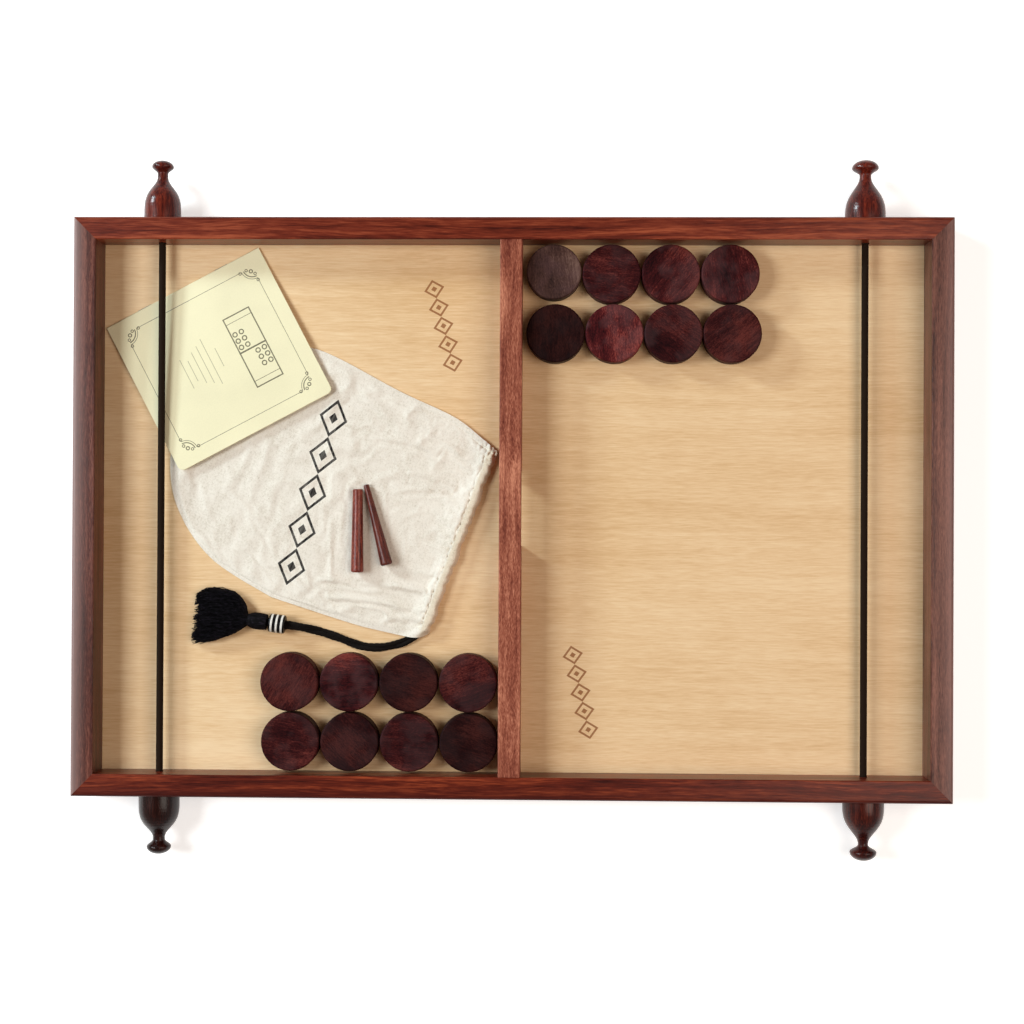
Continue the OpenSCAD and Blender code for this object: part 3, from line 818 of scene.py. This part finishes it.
def quarterRound(centre, radius, start, steps=5):    # points of a quarter circle, start in degrees
    turns = [math.radians(start + 90 * k / steps) for k in range(steps + 1)]
    return [(centre[0] + radius * math.cos(t), centre[1] + radius * math.sin(t)) for t in turns]


def endWay(line):    # the direction in which a line ends
    return Vector(line[-1] - line[-4])


def addBead(line):
    half, radius, rim = bead["length"] / 2, bead["radius"], bead["round"]
    bore, edge, groove = bead["bore"], bead["boreRound"], bead["groove"]
    profile = [(bore, edge - half), (bore + edge, -half)]
    profile += quarterRound((radius - rim, rim - half), rim, -90)
    for place in bead["ringPlaces"]:
        for side in (place - bead["ringHalf"], place + bead["ringHalf"]):
            profile += [(radius, side - groove), (radius - groove, side), (radius, side + groove)]
    profile += quarterRound((radius - rim, half - rim), rim, 0)
    profile += [(bore + edge, half), (bore, half - edge), profile[0]]
    piece = turnedPiece("ringed_bead", profile)
    low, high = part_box("drawcord_bead")
    middle = (low + high) / 2
    lieAlong(piece, middle, endWay(line))
    smoothShade(piece, 35)
    for colour in ("black", "white"):
        piece.data.materials.append(streakedFinish("bead" + colour.title(), lacquerLook,
                                                   tonesOf(lacquerLook, bead[colour])))
    way = endWay(line).normalized()
    for face in piece.data.polygons:
        along = (face.center - middle).dot(way)
        near = min(abs(along - place) for place in bead["ringPlaces"])
        outside = (face.center - middle - way * along).length > radius - 2 * groove
        face.material_index = 1 if outside and near < bead["ringHalf"] else 0
    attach(piece, "bead")
    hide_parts("drawcord_bead")
    return piece


def addTassel(line):
    yarn = streakedFinish("tasselYarn", yarnLook, tonesOf(yarnLook, tasselHead["shade"]))
    way = endWay(line).normalized()
    length, winding = tasselHead["length"], tasselHead["winding"]
    heights = np.arange(0, length + 1e-9, winding / tasselHead["windingSteps"])
    lead = (heights - tasselHead["widest"]) / (length - tasselHead["widest"])
    drop = np.where(lead < 0, tasselHead["startDrop"], tasselHead["endDrop"])
    drop = drop * np.abs(lead) ** tasselHead["dropPower"]
    groove = tasselHead["windingDepth"] * (1 - np.abs(np.sin(math.pi * heights / winding)))
    reach = tasselHead["radius"] - drop - groove
    profile = [(0, 0), (tasselHead["endReach"] * reach[0], 0), *zip(reach, heights + tasselHead["endGap"]),
               (0, length)]
    head = turnedPiece("tassel_head_windings", profile, 48)
    lieAlong(head, line[-1], way)
    smoothShade(head, 50)
    wear(head, yarn)
    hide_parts("tassel_head")
    fringe = addSkirt(Vector(line[-1]) + way * length)
    wear(fringe, yarn)
    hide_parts("tassel_skirt")
    for piece in (head, fringe):
        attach(piece, "board")
    return head, fringe


def addSkirt(root):    # hundreds of crimped strands fanned out from the head
    count, rings, spacing = skirt["strands"], skirt["rings"], skirt["spacing"]
    piece = ringedCylinder("tassel_skirt_strands", 3, rings)
    addRow(piece, count, (spacing, 0, 0))
    plain = corners(piece)
    strand = np.rint(plain[:, 0] / spacing).astype(int)
    ring, turn = ringAndTurn(plain, spacing * strand)

    draw = np.random.default_rng(skirt["seed"])
    across = draw.uniform(-1, 1, count)
    level = draw.uniform(-1, 1, count)
    clump = sum(np.sin(waves * across + start) for waves, start in skirt["clumps"])
    reach = draw.uniform(*skirt["reach"], count) + skirt["clumpReach"] * clump
    reach[:skirt["wisps"]] += draw.uniform(*skirt["wispReach"], skirt["wisps"])
    across, level = across[:, None], level[:, None]
    steps = np.linspace(0, 1, rings + 1)[None, :] * reach[:, None]
    waves = draw.uniform(*skirt["crimpWaves"], (count, 1))
    wobble = skirt["crimp"] * np.sin(steps * waves + draw.uniform(0, anyTurn, (count, 1)))

    def outline(values):    # what a list of the skirt's outline gives at the strands' steps
        return np.interp(steps, np.linspace(0, 1, len(values)), values)

    upper, lower = np.array(skirt["upper"]), np.array(skirt["lower"])
    share = (across + 1) / 2
    x, y = [share * outline(upper[:, k]) + (1 - share) * outline(lower[:, k]) for k in range(2)]
    y = y + skirt["stray"] * draw.normal(0, 1, (count, 1)) * steps ** skirt["strayPower"]
    crown = np.sqrt(1 - skirt["crown"] * across ** 2)
    z = outline(skirt["middle"]) + level * crown * outline(skirt["half"])
    z = np.maximum(z + skirt["crimpRise"] * wobble, skirt["radius"] + skirt["clear"])
    lines = np.stack([root.x + x, root.y + y + wobble * steps, floorTop + z], axis=-1)
    side, up = crossings(lines)
    thin = skirt["radius"] * (1 - skirt["taper"] * ring / rings)
    at = (strand, ring)
    setCorners(piece, roundLine(lines[at], side[at], up[at], thin, turn))
    smoothShade(piece, 80)
    return piece


# Cotton bag: one grid over its outline, which becomes the upper panel, and a flat one below it

bag = {
    "mouth": [(-0.0595, -0.110), (0, 0.049)],    # in the bag's frame, from the low to the top corner
    "lowSide": [(-0.0595, -0.110), (-0.068, -0.1122), (-0.080, -0.1112), (-0.100, -0.107),
                (-0.128, -0.1), (-0.197, -0.078)],
    "topSide": [(0, 0.049), (-0.013, 0.060), (-0.038, 0.079), (-0.085, 0.101), (-0.153, 0.136),
                (-0.198, 0.143)],
    "closedEnd": [(-0.197, -0.078), (-0.250, -0.044), (-0.280, 0.002), (-0.285, 0.050), (-0.271, 0.092),
                  (-0.238, 0.125), (-0.198, 0.143)],
    "along": 108, "across": 84, "steps": 12, "soft": 0.8,    # the power that rounds a rise
    "spread": (0.45, 0.55),    # shares of the grid's corners laid evenly, and finer towards the mouth
    "seam": 0.0013, "seamReach": 0.02, "topStitch": (0.0004, 0.0032, 0.0009),    # depth, place and width
    "plump": 0.005, "plumpWaves": [(0.07, 3, 0.18), (0.028, 5, 0.07)],    # size, seed and share
    "lifted": 0.0036, "liftedReach": 0.045, "liftedFrom": 0.8, "underside": 0.0003,
    "casing": 0.0085, "casingHeight": 0.0086, "casingEdge": 0.001, "casingReach": 0.005,
    "casingRound": (0.72, 0.28), "lip": (0.45, 0.55), "lipReach": 0.0014,
    "crooked": 0.0006, "crookedWaves": [(0.016, 21, 1), (0.005, 22, 0.8)],
    "gather": 0.0011, "gatherPitch": 0.0085, "gatherSeed": 8, "gatherFade": 0.02, "casingGather": 0.6,
    "foldDraw": 0.12, "foldSize": 1.6, "foldLevel": 0.7, "foldWaves": 5,
    "scallop": 0.0009, "scallopReach": 0.004,
    "stitch": 0.0015, "stitchWidth": 0.0007, "stitchPitch": 0.0035, "stitchSeed": 23,
    "pull": (0.7, 0.6), "pullRange": (0.1, 1.6),    # the stitches' even and uneven pull
    "pucker": 0.0012, "puckerPitch": 0.0042, "puckerSeed": 24, "puckerFade": 0.006, "puckerInset": 0.006,
    "bunch": 0.0026, "bunchReach": 0.013, "bunchPitch": 0.009, "bunchSeed": 31, "bunchLevel": 0.75,
    "sideRoll": 0.0024, "sideRollReach": 0.055, "sideRollAt": (0.0052, 0.0012),
    "creases": [    # from, to, and height in the bag's frame
        ((-0.076, 0.031), (-0.038, 0.0165), 0.0012), ((-0.086, 0.015), (-0.030, 0.013), 0.0008),
        ((-0.153, -0.062), (-0.063, -0.0725), 0.0014), ((-0.146, -0.0775), (-0.067, -0.089), 0.0013),
        ((-0.118, -0.052), (-0.052, -0.058), 0.0009), ((-0.258, 0.030), (-0.215, -0.002), 0.0009),
        ((-0.060, 0.062), (-0.018, 0.036), 0.0011), ((-0.095, -0.096), (-0.066, -0.099), 0.0012),
        ((-0.100, 0.060), (-0.052, 0.048), 0.0007), ((-0.205, -0.045), (-0.165, -0.070), 0.0008),
    ],
    "creaseWidth": 0.0022, "creaseBow": 0.0025, "creaseSteps": 9, "creaseFade": 0.012,
    "hollow": (0.7, 1.9),    # its share of the ridge's height, and how many widths beside it
    "cordPoints": 30, "overCord": 0.0056, "cordReach": 0.0065,
    "underPegs": 0.0026, "pegReach": (0.008, 0.016), "underBooklet": 0.0004, "least": 0.0008,
    "flat": (0.215, 0.28), "area": 0.0506,
    "frames": 26, "slack": 0.02, "heldBand": 0.010, "heldSeam": 0.004, "mostSag": 0.004,
    "freeBand": 0.004, "freeSeam": (0.003, 0.006), "hemBand": (0.0068, 0.0092),
}
mouthLow, mouthTop = np.array(bag["mouth"])
mouthLength = np.linalg.norm(mouthTop - mouthLow)
mouthWay = (mouthTop - mouthLow) / mouthLength
clothSettings = {
    "quality": 7, "mass": 0.02, "tension_stiffness": 12, "compression_stiffness": 12,
    "shear_stiffness": 4, "bending_stiffness": 0.02, "air_damping": 3, "shrink_min": -bag["slack"],
}
clothGap, clothWeight = 0.0006, 0.5
canvasLook = {
    "roughness": 0.9, "specular": 0.1, "sheen": 0.1,
    "dark": (202, 193, 175), "mid": (232, 225, 213), "light": (244, 238, 227),
    "stops": (0.34, 0.47, 0.6), "hemShade": (0.86, 0.78, 0.69, 1),
    "weave": ((370, 1.2, "X"), (340, 1.4, "Y")),    # each way's scale and distortion
    "slub": 420, "slubPull": 0.12, "broad": (45, 4, 0.6), "fuzz": (620, 3, 0.75),
    "weights": (0.22, 0.18, 0.12, 0.12, 0.46),    # broad, weave, slubs both ways and fuzz
    "fleck": (700, 2), "fleckPull": 0.4, "fleckFrom": 0.73, "fleckShare": 0.5,
    "fleckShade": (168, 140, 112),
    "worn": (-0.5, 1.18), "depth": 0.0006, "relief": 0.6,
}
bagPrint = {
    "rows": [(-0.161, 0.013, 74.5)], "pitch": 0.0335, "halfWidth": 0.0125, "count": 5,
    "line": 0.11, "heart": 0.3, "ink": (28, 25, 27),
}


def bagGrid():    # the grid, its corners' places in the bag's frame, and the bag's rim
    piece, u, v = newGrid("cotton_bag", bag["along"], bag["across"])
    u = bag["spread"][0] * u + bag["spread"][1] * u ** 2
    fine = [smoothLine(bag[side], bag["steps"]) for side in ("lowSide", "topSide", "mouth", "closedEnd")]
    low, top, mouth, closed = [alongLine(line, share) for line, share in zip(fine, (u, u, v, v))]
    ends = [fine[0][0], fine[1][0], fine[0][-1], fine[1][-1]]
    u, v = u[:, None], v[:, None]
    level = ((1 - v) * low + v * top + (1 - u) * mouth + u * closed
             - (1 - u) * (1 - v) * ends[0] - (1 - u) * v * ends[1]
             - u * (1 - v) * ends[2] - u * v * ends[3])
    rim = np.concatenate([fine[0], fine[3], fine[1][::-1]])
    return piece, level, rim


def ripples(places, size, seed, count=7):    # gentle unevenness, about -1 to 1, with waves of this size
    draw = np.random.default_rng(seed)
    total = np.zeros(len(places))
    for _ in range(count):
        heading = draw.uniform(0, 2 * math.pi)
        pitch = size * draw.uniform(*wavePitch)
        wave = places @ np.array([math.cos(heading), math.sin(heading)]) * 2 * math.pi / pitch
        total += np.sin(wave + draw.uniform(0, anyTurn))
    return total / math.sqrt(count)


def rippled(total, places, waves):    # adds ripples of several sizes, each with its seed and share
    for size, seed, share in waves:
        total = total + share * ripples(places, size, seed)
    return total


def onLine(along):    # places on a straight line
    return along[:, None] * [[1, 0]]


def leftOf(way):
    return np.array([-way[1], way[0]])


def mouthPlace(level):    # distance from the mouth's line, and the way along it
    return (level - mouthLow) @ leftOf(mouthWay), (level - mouthLow) @ mouthWay


def topShare(along):    # 0 at the mouth's low corner, and 1 at its top corner
    return smoothStep(along / mouthLength * 2 - bag["liftedFrom"])


def stitchLine(along):    # how far the casing's stitches lie from the mouth
    return bag["casing"] + bag["crooked"] * rippled(0, onLine(along), bag["crookedWaves"])


def gathers(along, deep, pitch, seed):    # rounded folds with narrow valleys, drawn up by the stitches
    places = np.stack([along, bag["foldDraw"] * deep], axis=1)
    wave = ripples(places, pitch * bag["foldSize"], seed, bag["foldWaves"])
    return np.abs(wave) ** bag["foldLevel"] - bag["foldLevel"]


def creaseLift(level):    # long soft ridges, each with a hollow beside it
    lift = np.zeros(len(level))
    width = bag["creaseWidth"]
    share, beside = bag["hollow"]
    shares = np.linspace(0, 1, bag["creaseSteps"])
    for start, end, height in bag["creases"]:
        line = np.array([start, end])
        side = leftOf((line[1] - line[0]) / np.linalg.norm(line[1] - line[0]))
        ridge = alongLine(line, shares) + bag["creaseBow"] * np.sin(math.pi * shares)[:, None] * side
        lift += height * bell(lineDistance(level, ridge), width)
        lift -= share * height * bell(lineDistance(level, ridge - beside * width * side), width)
    return lift


def bagHeight(level, rim):
    deep, along = mouthPlace(level)
    seamGap = lineDistance(level, rim)
    stitches = stitchLine(along)
    body = bag["plump"] * rippled(1, level, bag["plumpWaves"])
    edge = bag["seam"] + bag["lifted"] * topShare(along) * np.exp(-deep / bag["liftedReach"])
    height = edge + (body - edge) * smoothStep(seamGap / bag["seamReach"]) ** bag["soft"]
    depth, place, width = bag["topStitch"]
    height -= depth * bell(seamGap - place, width)
    folds = gathers(along, deep, bag["gatherPitch"], bag["gatherSeed"])
    height += bag["gather"] * folds * np.exp(-np.maximum(deep - stitches, 0) / bag["gatherFade"])
    height += creaseLift(level) * smoothStep(seamGap / bag["creaseFade"])
    flat, rise = bag["casingRound"]
    way = np.clip(deep / stitches, 0, 1) ** bag["soft"]
    bulge = bag["casingHeight"] * (flat + rise * np.sin(math.pi * way))
    flat, rise = bag["lip"]
    bulge = bulge * (flat + rise * np.sqrt(np.clip(deep / bag["lipReach"], 0, 1)))
    casing = smoothStep((stitches + bag["casingEdge"] - deep) / (2 * bag["casingEdge"]))
    flange = edge + (bulge - edge) * smoothStep(seamGap / bag["casingReach"])
    flange = np.maximum(flange + bag["casingGather"] * bag["gather"] * folds, edge)
    return height * (1 - casing) + flange * casing


def fineFolds(level, rim):    # the stitches' narrow valley with its puckers, and the crumpled top corner
    deep, along = mouthPlace(level)
    seamGap = lineDistance(level, rim)
    off = np.abs(deep - stitchLine(along))
    even, uneven = bag["pull"]
    pull = np.clip(even + uneven * ripples(onLine(along), bag["stitchPitch"], bag["stitchSeed"]),
                   *bag["pullRange"])
    lift = -bag["stitch"] * pull * bell(off, bag["stitchWidth"])
    puckers = gathers(along, deep, bag["puckerPitch"], bag["puckerSeed"])
    lift += bag["pucker"] * puckers * np.exp(-off / bag["puckerFade"])
    lift *= smoothStep(seamGap / bag["puckerInset"])
    near = bell(np.linalg.norm(level - mouthTop, axis=1), bag["bunchReach"])
    bunches = ripples(level, bag["bunchPitch"], bag["bunchSeed"], bag["foldWaves"])
    lift += bag["bunch"] * near * (np.abs(bunches) ** bag["soft"] - bag["bunchLevel"])
    place, width = bag["sideRollAt"]
    roll = bell(seamGap - place, width) * np.exp(-deep / bag["sideRollReach"])
    return lift - bag["sideRoll"] * roll * topShare(along)


def keepClear(level, height):    # over the drawcord, flat under the two pegs and clear of the booklet
    cord = drawcordLine()[:bag["cordPoints"], :2] - bagAt
    height = np.maximum(height, bag["overCord"] * bell(lineDistance(level, cord), bag["cordReach"]))
    for letter in "ab":
        low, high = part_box("tensioning_peg_" + letter)
        middle = (low.x + high.x) / 2
        gap = lineDistance(level, np.array([[middle, high.y], [middle, low.y]]) - bagAt)
        under = 1 - smoothStep((gap - bag["pegReach"][0]) / bag["pegReach"][1])
        height = height * (1 - under) + np.minimum(height, bag["underPegs"]) * under
    height = np.minimum(height, underBooklet(level) - bag["underBooklet"])
    return np.maximum(height, bag["least"])


def settlePanel(piece, held):    # a slack panel creases over the floor between the parts held still
    pins = piece.vertex_groups.new(name="held")
    pins.add([int(i) for i in np.flatnonzero(held)], 1.0, "REPLACE")
    deselectAll()
    bpy.ops.mesh.primitive_plane_add(size=1, location=bagCorner)
    support = bpy.context.object
    support.modifiers.new("support", "COLLISION")
    support.collision.thickness_outer = clothGap
    cloth = piece.modifiers.new("cloth", "CLOTH")
    for key, value in clothSettings.items():
        setattr(cloth.settings, key, value)
    cloth.settings.vertex_group_mass = "held"
    cloth.settings.effector_weights.gravity = clothWeight
    cloth.collision_settings.distance_min = clothGap
    cloth.point_cache.frame_end = bag["frames"]
    for number in range(1, bag["frames"] + 1):
        bpy.context.scene.frame_set(number)
    work(piece)
    bpy.ops.object.modifier_apply(modifier="cloth")
    piece.vertex_groups.remove(piece.vertex_groups["held"])
    bpy.data.objects.remove(support)
    bpy.context.scene.frame_set(1)


def addBag():
    piece, level, rim = bagGrid()
    height = keepClear(level, bagHeight(level, rim))
    deep, along = mouthPlace(level)
    scallop = bag["scallop"] * ripples(onLine(along), bag["gatherPitch"], bag["gatherSeed"],
                                       bag["foldWaves"])
    level = level + (scallop * bell(deep, bag["scallopReach"]))[:, None] * leftOf(mouthWay)
    base = floorTop + bag["underside"]
    setCorners(piece, np.column_stack([bagAt + level, base + height]))
    seamGap = lineDistance(level, rim)
    settlePanel(piece, (deep < bag["heldBand"]) | (seamGap < bag["heldSeam"]))
    settled = corners(piece)
    change = np.clip(settled[:, 2] - base - height, -bag["mostSag"], bag["mostSag"])
    free = (smoothStep((deep - bag["heldBand"]) / bag["freeBand"])
            * smoothStep((seamGap - bag["freeSeam"][0]) / bag["freeSeam"][1]))
    setCorners(piece, np.column_stack([settled[:, :2], base + height + free * change]))
    piece.modifiers.new("finer", "SUBSURF").levels = 1
    finishModifiers(piece)
    places = corners(piece)
    level = places[:, :2] - bagAt
    height = keepClear(level, places[:, 2] - base + fineFolds(level, rim))
    setCorners(piece, np.column_stack([places[:, :2], base + height]))
    editOn(piece)
    bpy.ops.mesh.select_all(action="SELECT")
    bpy.ops.mesh.duplicate()
    bpy.ops.mesh.flip_normals()
    bpy.ops.transform.resize(value=(1, 1, 0), center_override=(0, 0, base))
    bpy.ops.mesh.select_all(action="DESELECT")
    bpy.ops.mesh.select_non_manifold()
    bpy.ops.mesh.bridge_edge_loops()
    editOff()
    smoothShade(piece, 60)
    wear(piece, canvasFinish())
    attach(piece, "board")
    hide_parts("bag_back_panel", "bag_front_panel", "bag_hem")
    print("bag done:", len(piece.data.polygons), "faces")


def canvasFinish():
    look = canvasLook
    material, tree, shader = newMaterial("cottonCanvas", look)
    lean = math.atan2(mouthWay[1], mouthWay[0])
    centred = laid(tree, objectPlace(tree), shift=(-bagCorner.x, -bagCorner.y, 0))
    place = laid(tree, centred, turn=(0, 0, -lean))
    weave = times(tree, *[waveOn(tree, place, *threads) for threads in look["weave"]])
    broad = noiseOn(tree, place, *look["broad"])
    pull = look["slubPull"]
    slub, cross = [noiseOn(tree, laid(tree, place, stretch=stretch), look["slub"])
                   for stretch in ((pull, 1, 1), (1, pull, 1))]
    fuzz = noiseOn(tree, place, *look["fuzz"])
    value = weighed(tree, (broad, weave, slub, cross, fuzz), look["weights"])
    colour = shadeRamp(tree, value, look["stops"], [srgb(look[part]) for part in ("dark", "mid", "light")])
    fleck = noiseOn(tree, laid(tree, place, stretch=(look["fleckPull"], 1, 1)), *look["fleck"])
    flecked = times(tree, maths(tree, "GREATER_THAN", fleck, look["fleckFrom"]), look["fleckShare"])
    colour = mixColour(tree, flecked, colour, srgb(look["fleckShade"]))
    mouthAt = mouthLow[1] * math.cos(lean) - mouthLow[0] * math.sin(lean)
    # painted shade: the casing band by the mouth is darkened and warmed
    hem = mapRange(tree, minus(tree, axesOf(tree, place)["Y"], mouthAt), *bag["hemBand"], 1, 0)
    colour = mixColour(tree, hem, colour, look["hemShade"], "MULTIPLY")
    worn = maths(tree, "MULTIPLY_ADD", slub, *look["worn"])
    paint(tree, shader, printRows(tree, centred, colour, bagPrint, worn))
    addBump(tree, shader, value, look)
    return material


# Booklet: a folded cover round a stack of leaves, lying askew with its free side raised

booklet = {
    "length": 0.150, "width": 0.142, "turn": 28, "cover": 0.0004, "pages": 0.001, "gap": 0.00005,
    "inset": 0.0008, "corner": 0.005, "tilt": 2.3115, "lift": 0.0002, "leaves": 5,
    "coverSteps": 30, "foldSteps": 13, "coverCells": 60, "leafCells": 40, "card": 0.9, "paper": 0.8,
    "raised": 0.006, "raisedBy": 0.01, "shade": (239, 233, 197), "page": (240, 237, 220),
}
paperLook = {
    "roughness": 0.75, "specular": 0.15,
    "fibre": (900, 4, 0.7), "broad": (18, 2), "weights": (0.6, 0.4), "stops": (0.35, 0.65),
    "tones": (0.97, 1.02), "depth": 0.0001, "relief": 0.3,
}
steelLook = {
    "roughness": 0.32, "specular": 0.5, "metal": 1, "pull": 0.2, "streak": (3000, 3, 0.55),
    "stops": (0.3, 0.7), "shades": ((150, 150, 154), (196, 196, 200)),
}
art = {    # the cover's print: a ring has a radius and a line's width, and a box half its length or height
    "margin": 0.0125, "border": 0.00045, "corner": 0.0105, "scrolls": ((0.0105, 0.0005), (0.0086, 0.0009)),
    "dotIn": 0.0028, "dot": (0.0014, 0.0009),
    "studs": (0.0062, 0.0122), "studIn": 0.0004, "stud": (0.0011, 0.0007),
    "plan": (0.004, 0.031), "planHalf": 0.0125,
    "planLines": ((0.033, 0.0011), (0.0275, 0.0005), (0.0001, 0.0012)),
    "discFrom": (0.0044, 0.0090), "discStep": 0.0062, "disc": (0.0019, 0.0010),
    "rules": [(0.018, 0.001), (0.044, -0.007), (0.036, -0.013), (0.030, -0.019), (0.020, -0.025),
              (0.028, -0.031)],    # length of each ruled line, and its place above the middle
    "ruleIn": 0.002, "ruleHalf": 0.0003, "ruleShare": 0.6, "ink": (62, 58, 44), "share": 0.82,
}


def bookletFrame():    # the spine's low corner and its direction, and the direction to the free edge
    low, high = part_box("booklet_cover")
    turn = math.radians(booklet["turn"])
    start = np.array([low.x, high.y - booklet["length"] * math.sin(turn)])
    return start, np.array([math.cos(turn), math.sin(turn)]), np.array([math.sin(turn), -math.cos(turn)])


def underBooklet(level):    # height over the floor that the booklet leaves free over the bag's frame
    start, spine, free = bookletFrame()
    place = level + bagAt - start
    along, out = place @ spine, place @ free
    clear = booklet["lift"] + out * math.tan(math.radians(booklet["tilt"]))
    beside = np.maximum.reduce([-along, along - booklet["length"], -out, out - booklet["width"]])
    return clear + np.clip(beside / booklet["raised"], 0, 1) ** 2 * booklet["raisedBy"]


def bookletPlace(along, out, up):    # from the booklet's own directions to the frame's
    start, spine, free = bookletFrame()
    tilt = math.radians(booklet["tilt"])
    level = out * math.cos(tilt) - up * math.sin(tilt)
    flat = start + along[:, None] * spine + level[:, None] * free
    height = floorTop + booklet["lift"] + out * math.sin(tilt) + up * math.cos(tilt)
    return np.column_stack([flat, height])


def roundedEdge(along, out, length, width):    # pulls a leaf's sides in where its free corners are round
    radius = booklet["corner"]
    past = np.clip(out - (width - radius), 0, radius)
    pull = radius - np.sqrt(radius ** 2 - past ** 2)
    middle = length / 2
    return middle + (along - middle) * (middle - pull) / middle


def addBooklet():
    thick = 2 * booklet["cover"] + booklet["pages"] + 2 * booklet["gap"]
    half, wide = thick / 2, booklet["width"]
    bend = half - booklet["cover"] / 2
    count = booklet["coverSteps"]
    steps = [wide * (1 - smoothStep(k / count)) for k in range(count)]
    back = [(out + bend * (1 - out / wide), booklet["cover"] / 2) for out in steps]
    fold = [(bend - bend * math.sin(t), half - bend * math.cos(t))
            for t in np.linspace(0, math.pi, booklet["foldSteps"])]
    front = [(out, thick - up) for out, up in back[::-1]]
    profile = np.array(back + fold + front)
    cover, u, v = newGrid("booklet_folded_cover", booklet["coverCells"], len(profile) - 1)
    out, up = profile[np.rint(v * (len(profile) - 1)).astype(int)].T
    along = roundedEdge(u * booklet["length"], out, booklet["length"], wide)
    setCorners(cover, bookletPlace(along, out, up))
    thicken(cover, booklet["card"] * booklet["cover"])
    finishModifiers(cover)
    smoothShade(cover, 40)
    wear(cover, paperFinish("bookletCard", booklet["shade"], coverPrint))
    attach(cover, "booklet")
    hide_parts("booklet_cover")

    leaf, u, v = newGrid("booklet_leaves", booklet["leafCells"], booklet["leafCells"])
    inset = booklet["inset"]
    length, width = booklet["length"] - 2 * inset, wide - 2 * inset - booklet["cover"]
    out = (1 - (1 - v) ** 2) * width
    along = roundedEdge(u * length, out, length, width)
    thickness = booklet["pages"] / booklet["leaves"]
    setCorners(leaf, np.column_stack([along + inset, out + inset + booklet["cover"],
                                      np.full(len(out), thickness / 2)]))
    thicken(leaf, booklet["paper"] * thickness)
    addRow(leaf, booklet["leaves"], (0, 0, thickness))
    own = corners(leaf)
    setCorners(leaf, bookletPlace(own[:, 0], own[:, 1], own[:, 2] + booklet["cover"] + booklet["gap"]))
    smoothShade(leaf, 40)
    wear(leaf, paperFinish("bookletPage", booklet["page"]))
    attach(leaf, "booklet")
    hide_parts("booklet_pages")
    colours = [srgb(shade) for shade in steelLook["shades"]]
    wear(cadNodes["booklet_staples"], streakedFinish("stapleSteel", steelLook, colours))
    print("booklet done")


def paperFinish(name, shade, printed=None):
    material, tree, shader = newMaterial(name, paperLook)
    start = bookletFrame()[0]
    centred = laid(tree, objectPlace(tree), shift=(-start[0], -start[1], 0))
    place = laid(tree, centred, turn=turnBy(-booklet["turn"]))
    broad, fibre = [noiseOn(tree, place, *paperLook[kind]) for kind in ("broad", "fibre")]
    value = weighed(tree, (broad, fibre), paperLook["weights"])
    colour = shadeRamp(tree, value, paperLook["stops"], tonesOf(paperLook, shade))
    if printed:
        colour = printed(tree, place, colour)
    paint(tree, shader, colour)
    addBump(tree, shader, fibre, paperLook)
    return material


def boxEdge(tree, axes, centre, half):    # distance from a rectangle's outline, negative inside
    return largest(tree, *[minus(tree, apart(tree, axes[axis], at), reach)
                           for axis, at, reach in zip("XY", centre, half)])


def lineOn(tree, distance, width):    # 1 where a distance is within half a line's width
    return maths(tree, "LESS_THAN", maths(tree, "ABSOLUTE", distance), width / 2)


def ringOn(tree, axes, centre, radius, width):    # 1 on a circle's line
    x, y = [minus(tree, axes[axis], at) for axis, at in zip("XY", centre)]
    reach = maths(tree, "SQRT", maths(tree, "MULTIPLY_ADD", x, x, times(tree, y, y)))
    return lineOn(tree, minus(tree, reach, radius), width)


def coverPrint(tree, place, colour):    # a border with scrolled corners, a plan of a board, and rules
    axes = axesOf(tree, laid(tree, place, turn=turnBy(90)))    # X from the spine out, Y up the page
    middle = (booklet["width"] / 2, booklet["length"] / 2)
    half = [reach - art["margin"] for reach in middle]
    folded = {axis: apart(tree, axes[axis], at) for axis, at in zip("XY", middle)}
    gaps = [minus(tree, reach, folded[axis]) for axis, reach in zip("XY", half)]
    toCorner = maths(tree, "MINIMUM", *gaps)
    straight = maths(tree, "GREATER_THAN", largest(tree, *gaps), art["corner"])
    inside = maths(tree, "GREATER_THAN", toCorner, 0)
    inks = [times(tree, lineOn(tree, toCorner, art["border"]), straight)]
    for radius, width in art["scrolls"]:
        inks.append(times(tree, ringOn(tree, folded, half, radius, width), inside))
    inks.append(ringOn(tree, folded, [reach - art["dotIn"] for reach in half], *art["dot"]))
    near = art["studIn"]
    for far in art["studs"]:
        for at in ((half[0] - far, half[1] - near), (half[0] - near, half[1] - far)):
            inks.append(ringOn(tree, folded, at, *art["stud"]))

    planAt = (middle[0] + art["plan"][0], middle[1] + art["plan"][1])
    for reach, width in art["planLines"]:
        inks.append(lineOn(tree, boxEdge(tree, axes, planAt, (reach, art["planHalf"])), width))
    for side in (-1, 1):
        for i in range(3):
            for row in range(2):
                at = (planAt[0] + side * (art["discFrom"][0] + art["discStep"] * i),
                      planAt[1] + side * (art["discFrom"][1] - art["discStep"] * row))
                inks.append(ringOn(tree, axes, at, *art["disc"]))
    for length, up in art["rules"]:
        across = boxEdge(tree, axes, (middle[0] - art["ruleIn"], middle[1] + up),
                         (length / 2, art["ruleHalf"]))
        inks.append(times(tree, maths(tree, "LESS_THAN", across, 0), art["ruleShare"]))
    drawn = times(tree, largest(tree, *inks), art["share"])
    return mixColour(tree, drawn, colour, srgb(art["ink"]))


addCamera()
addSlings()
addDrawcord()
addBag()
addBooklet()
dressWood()
addStudio()
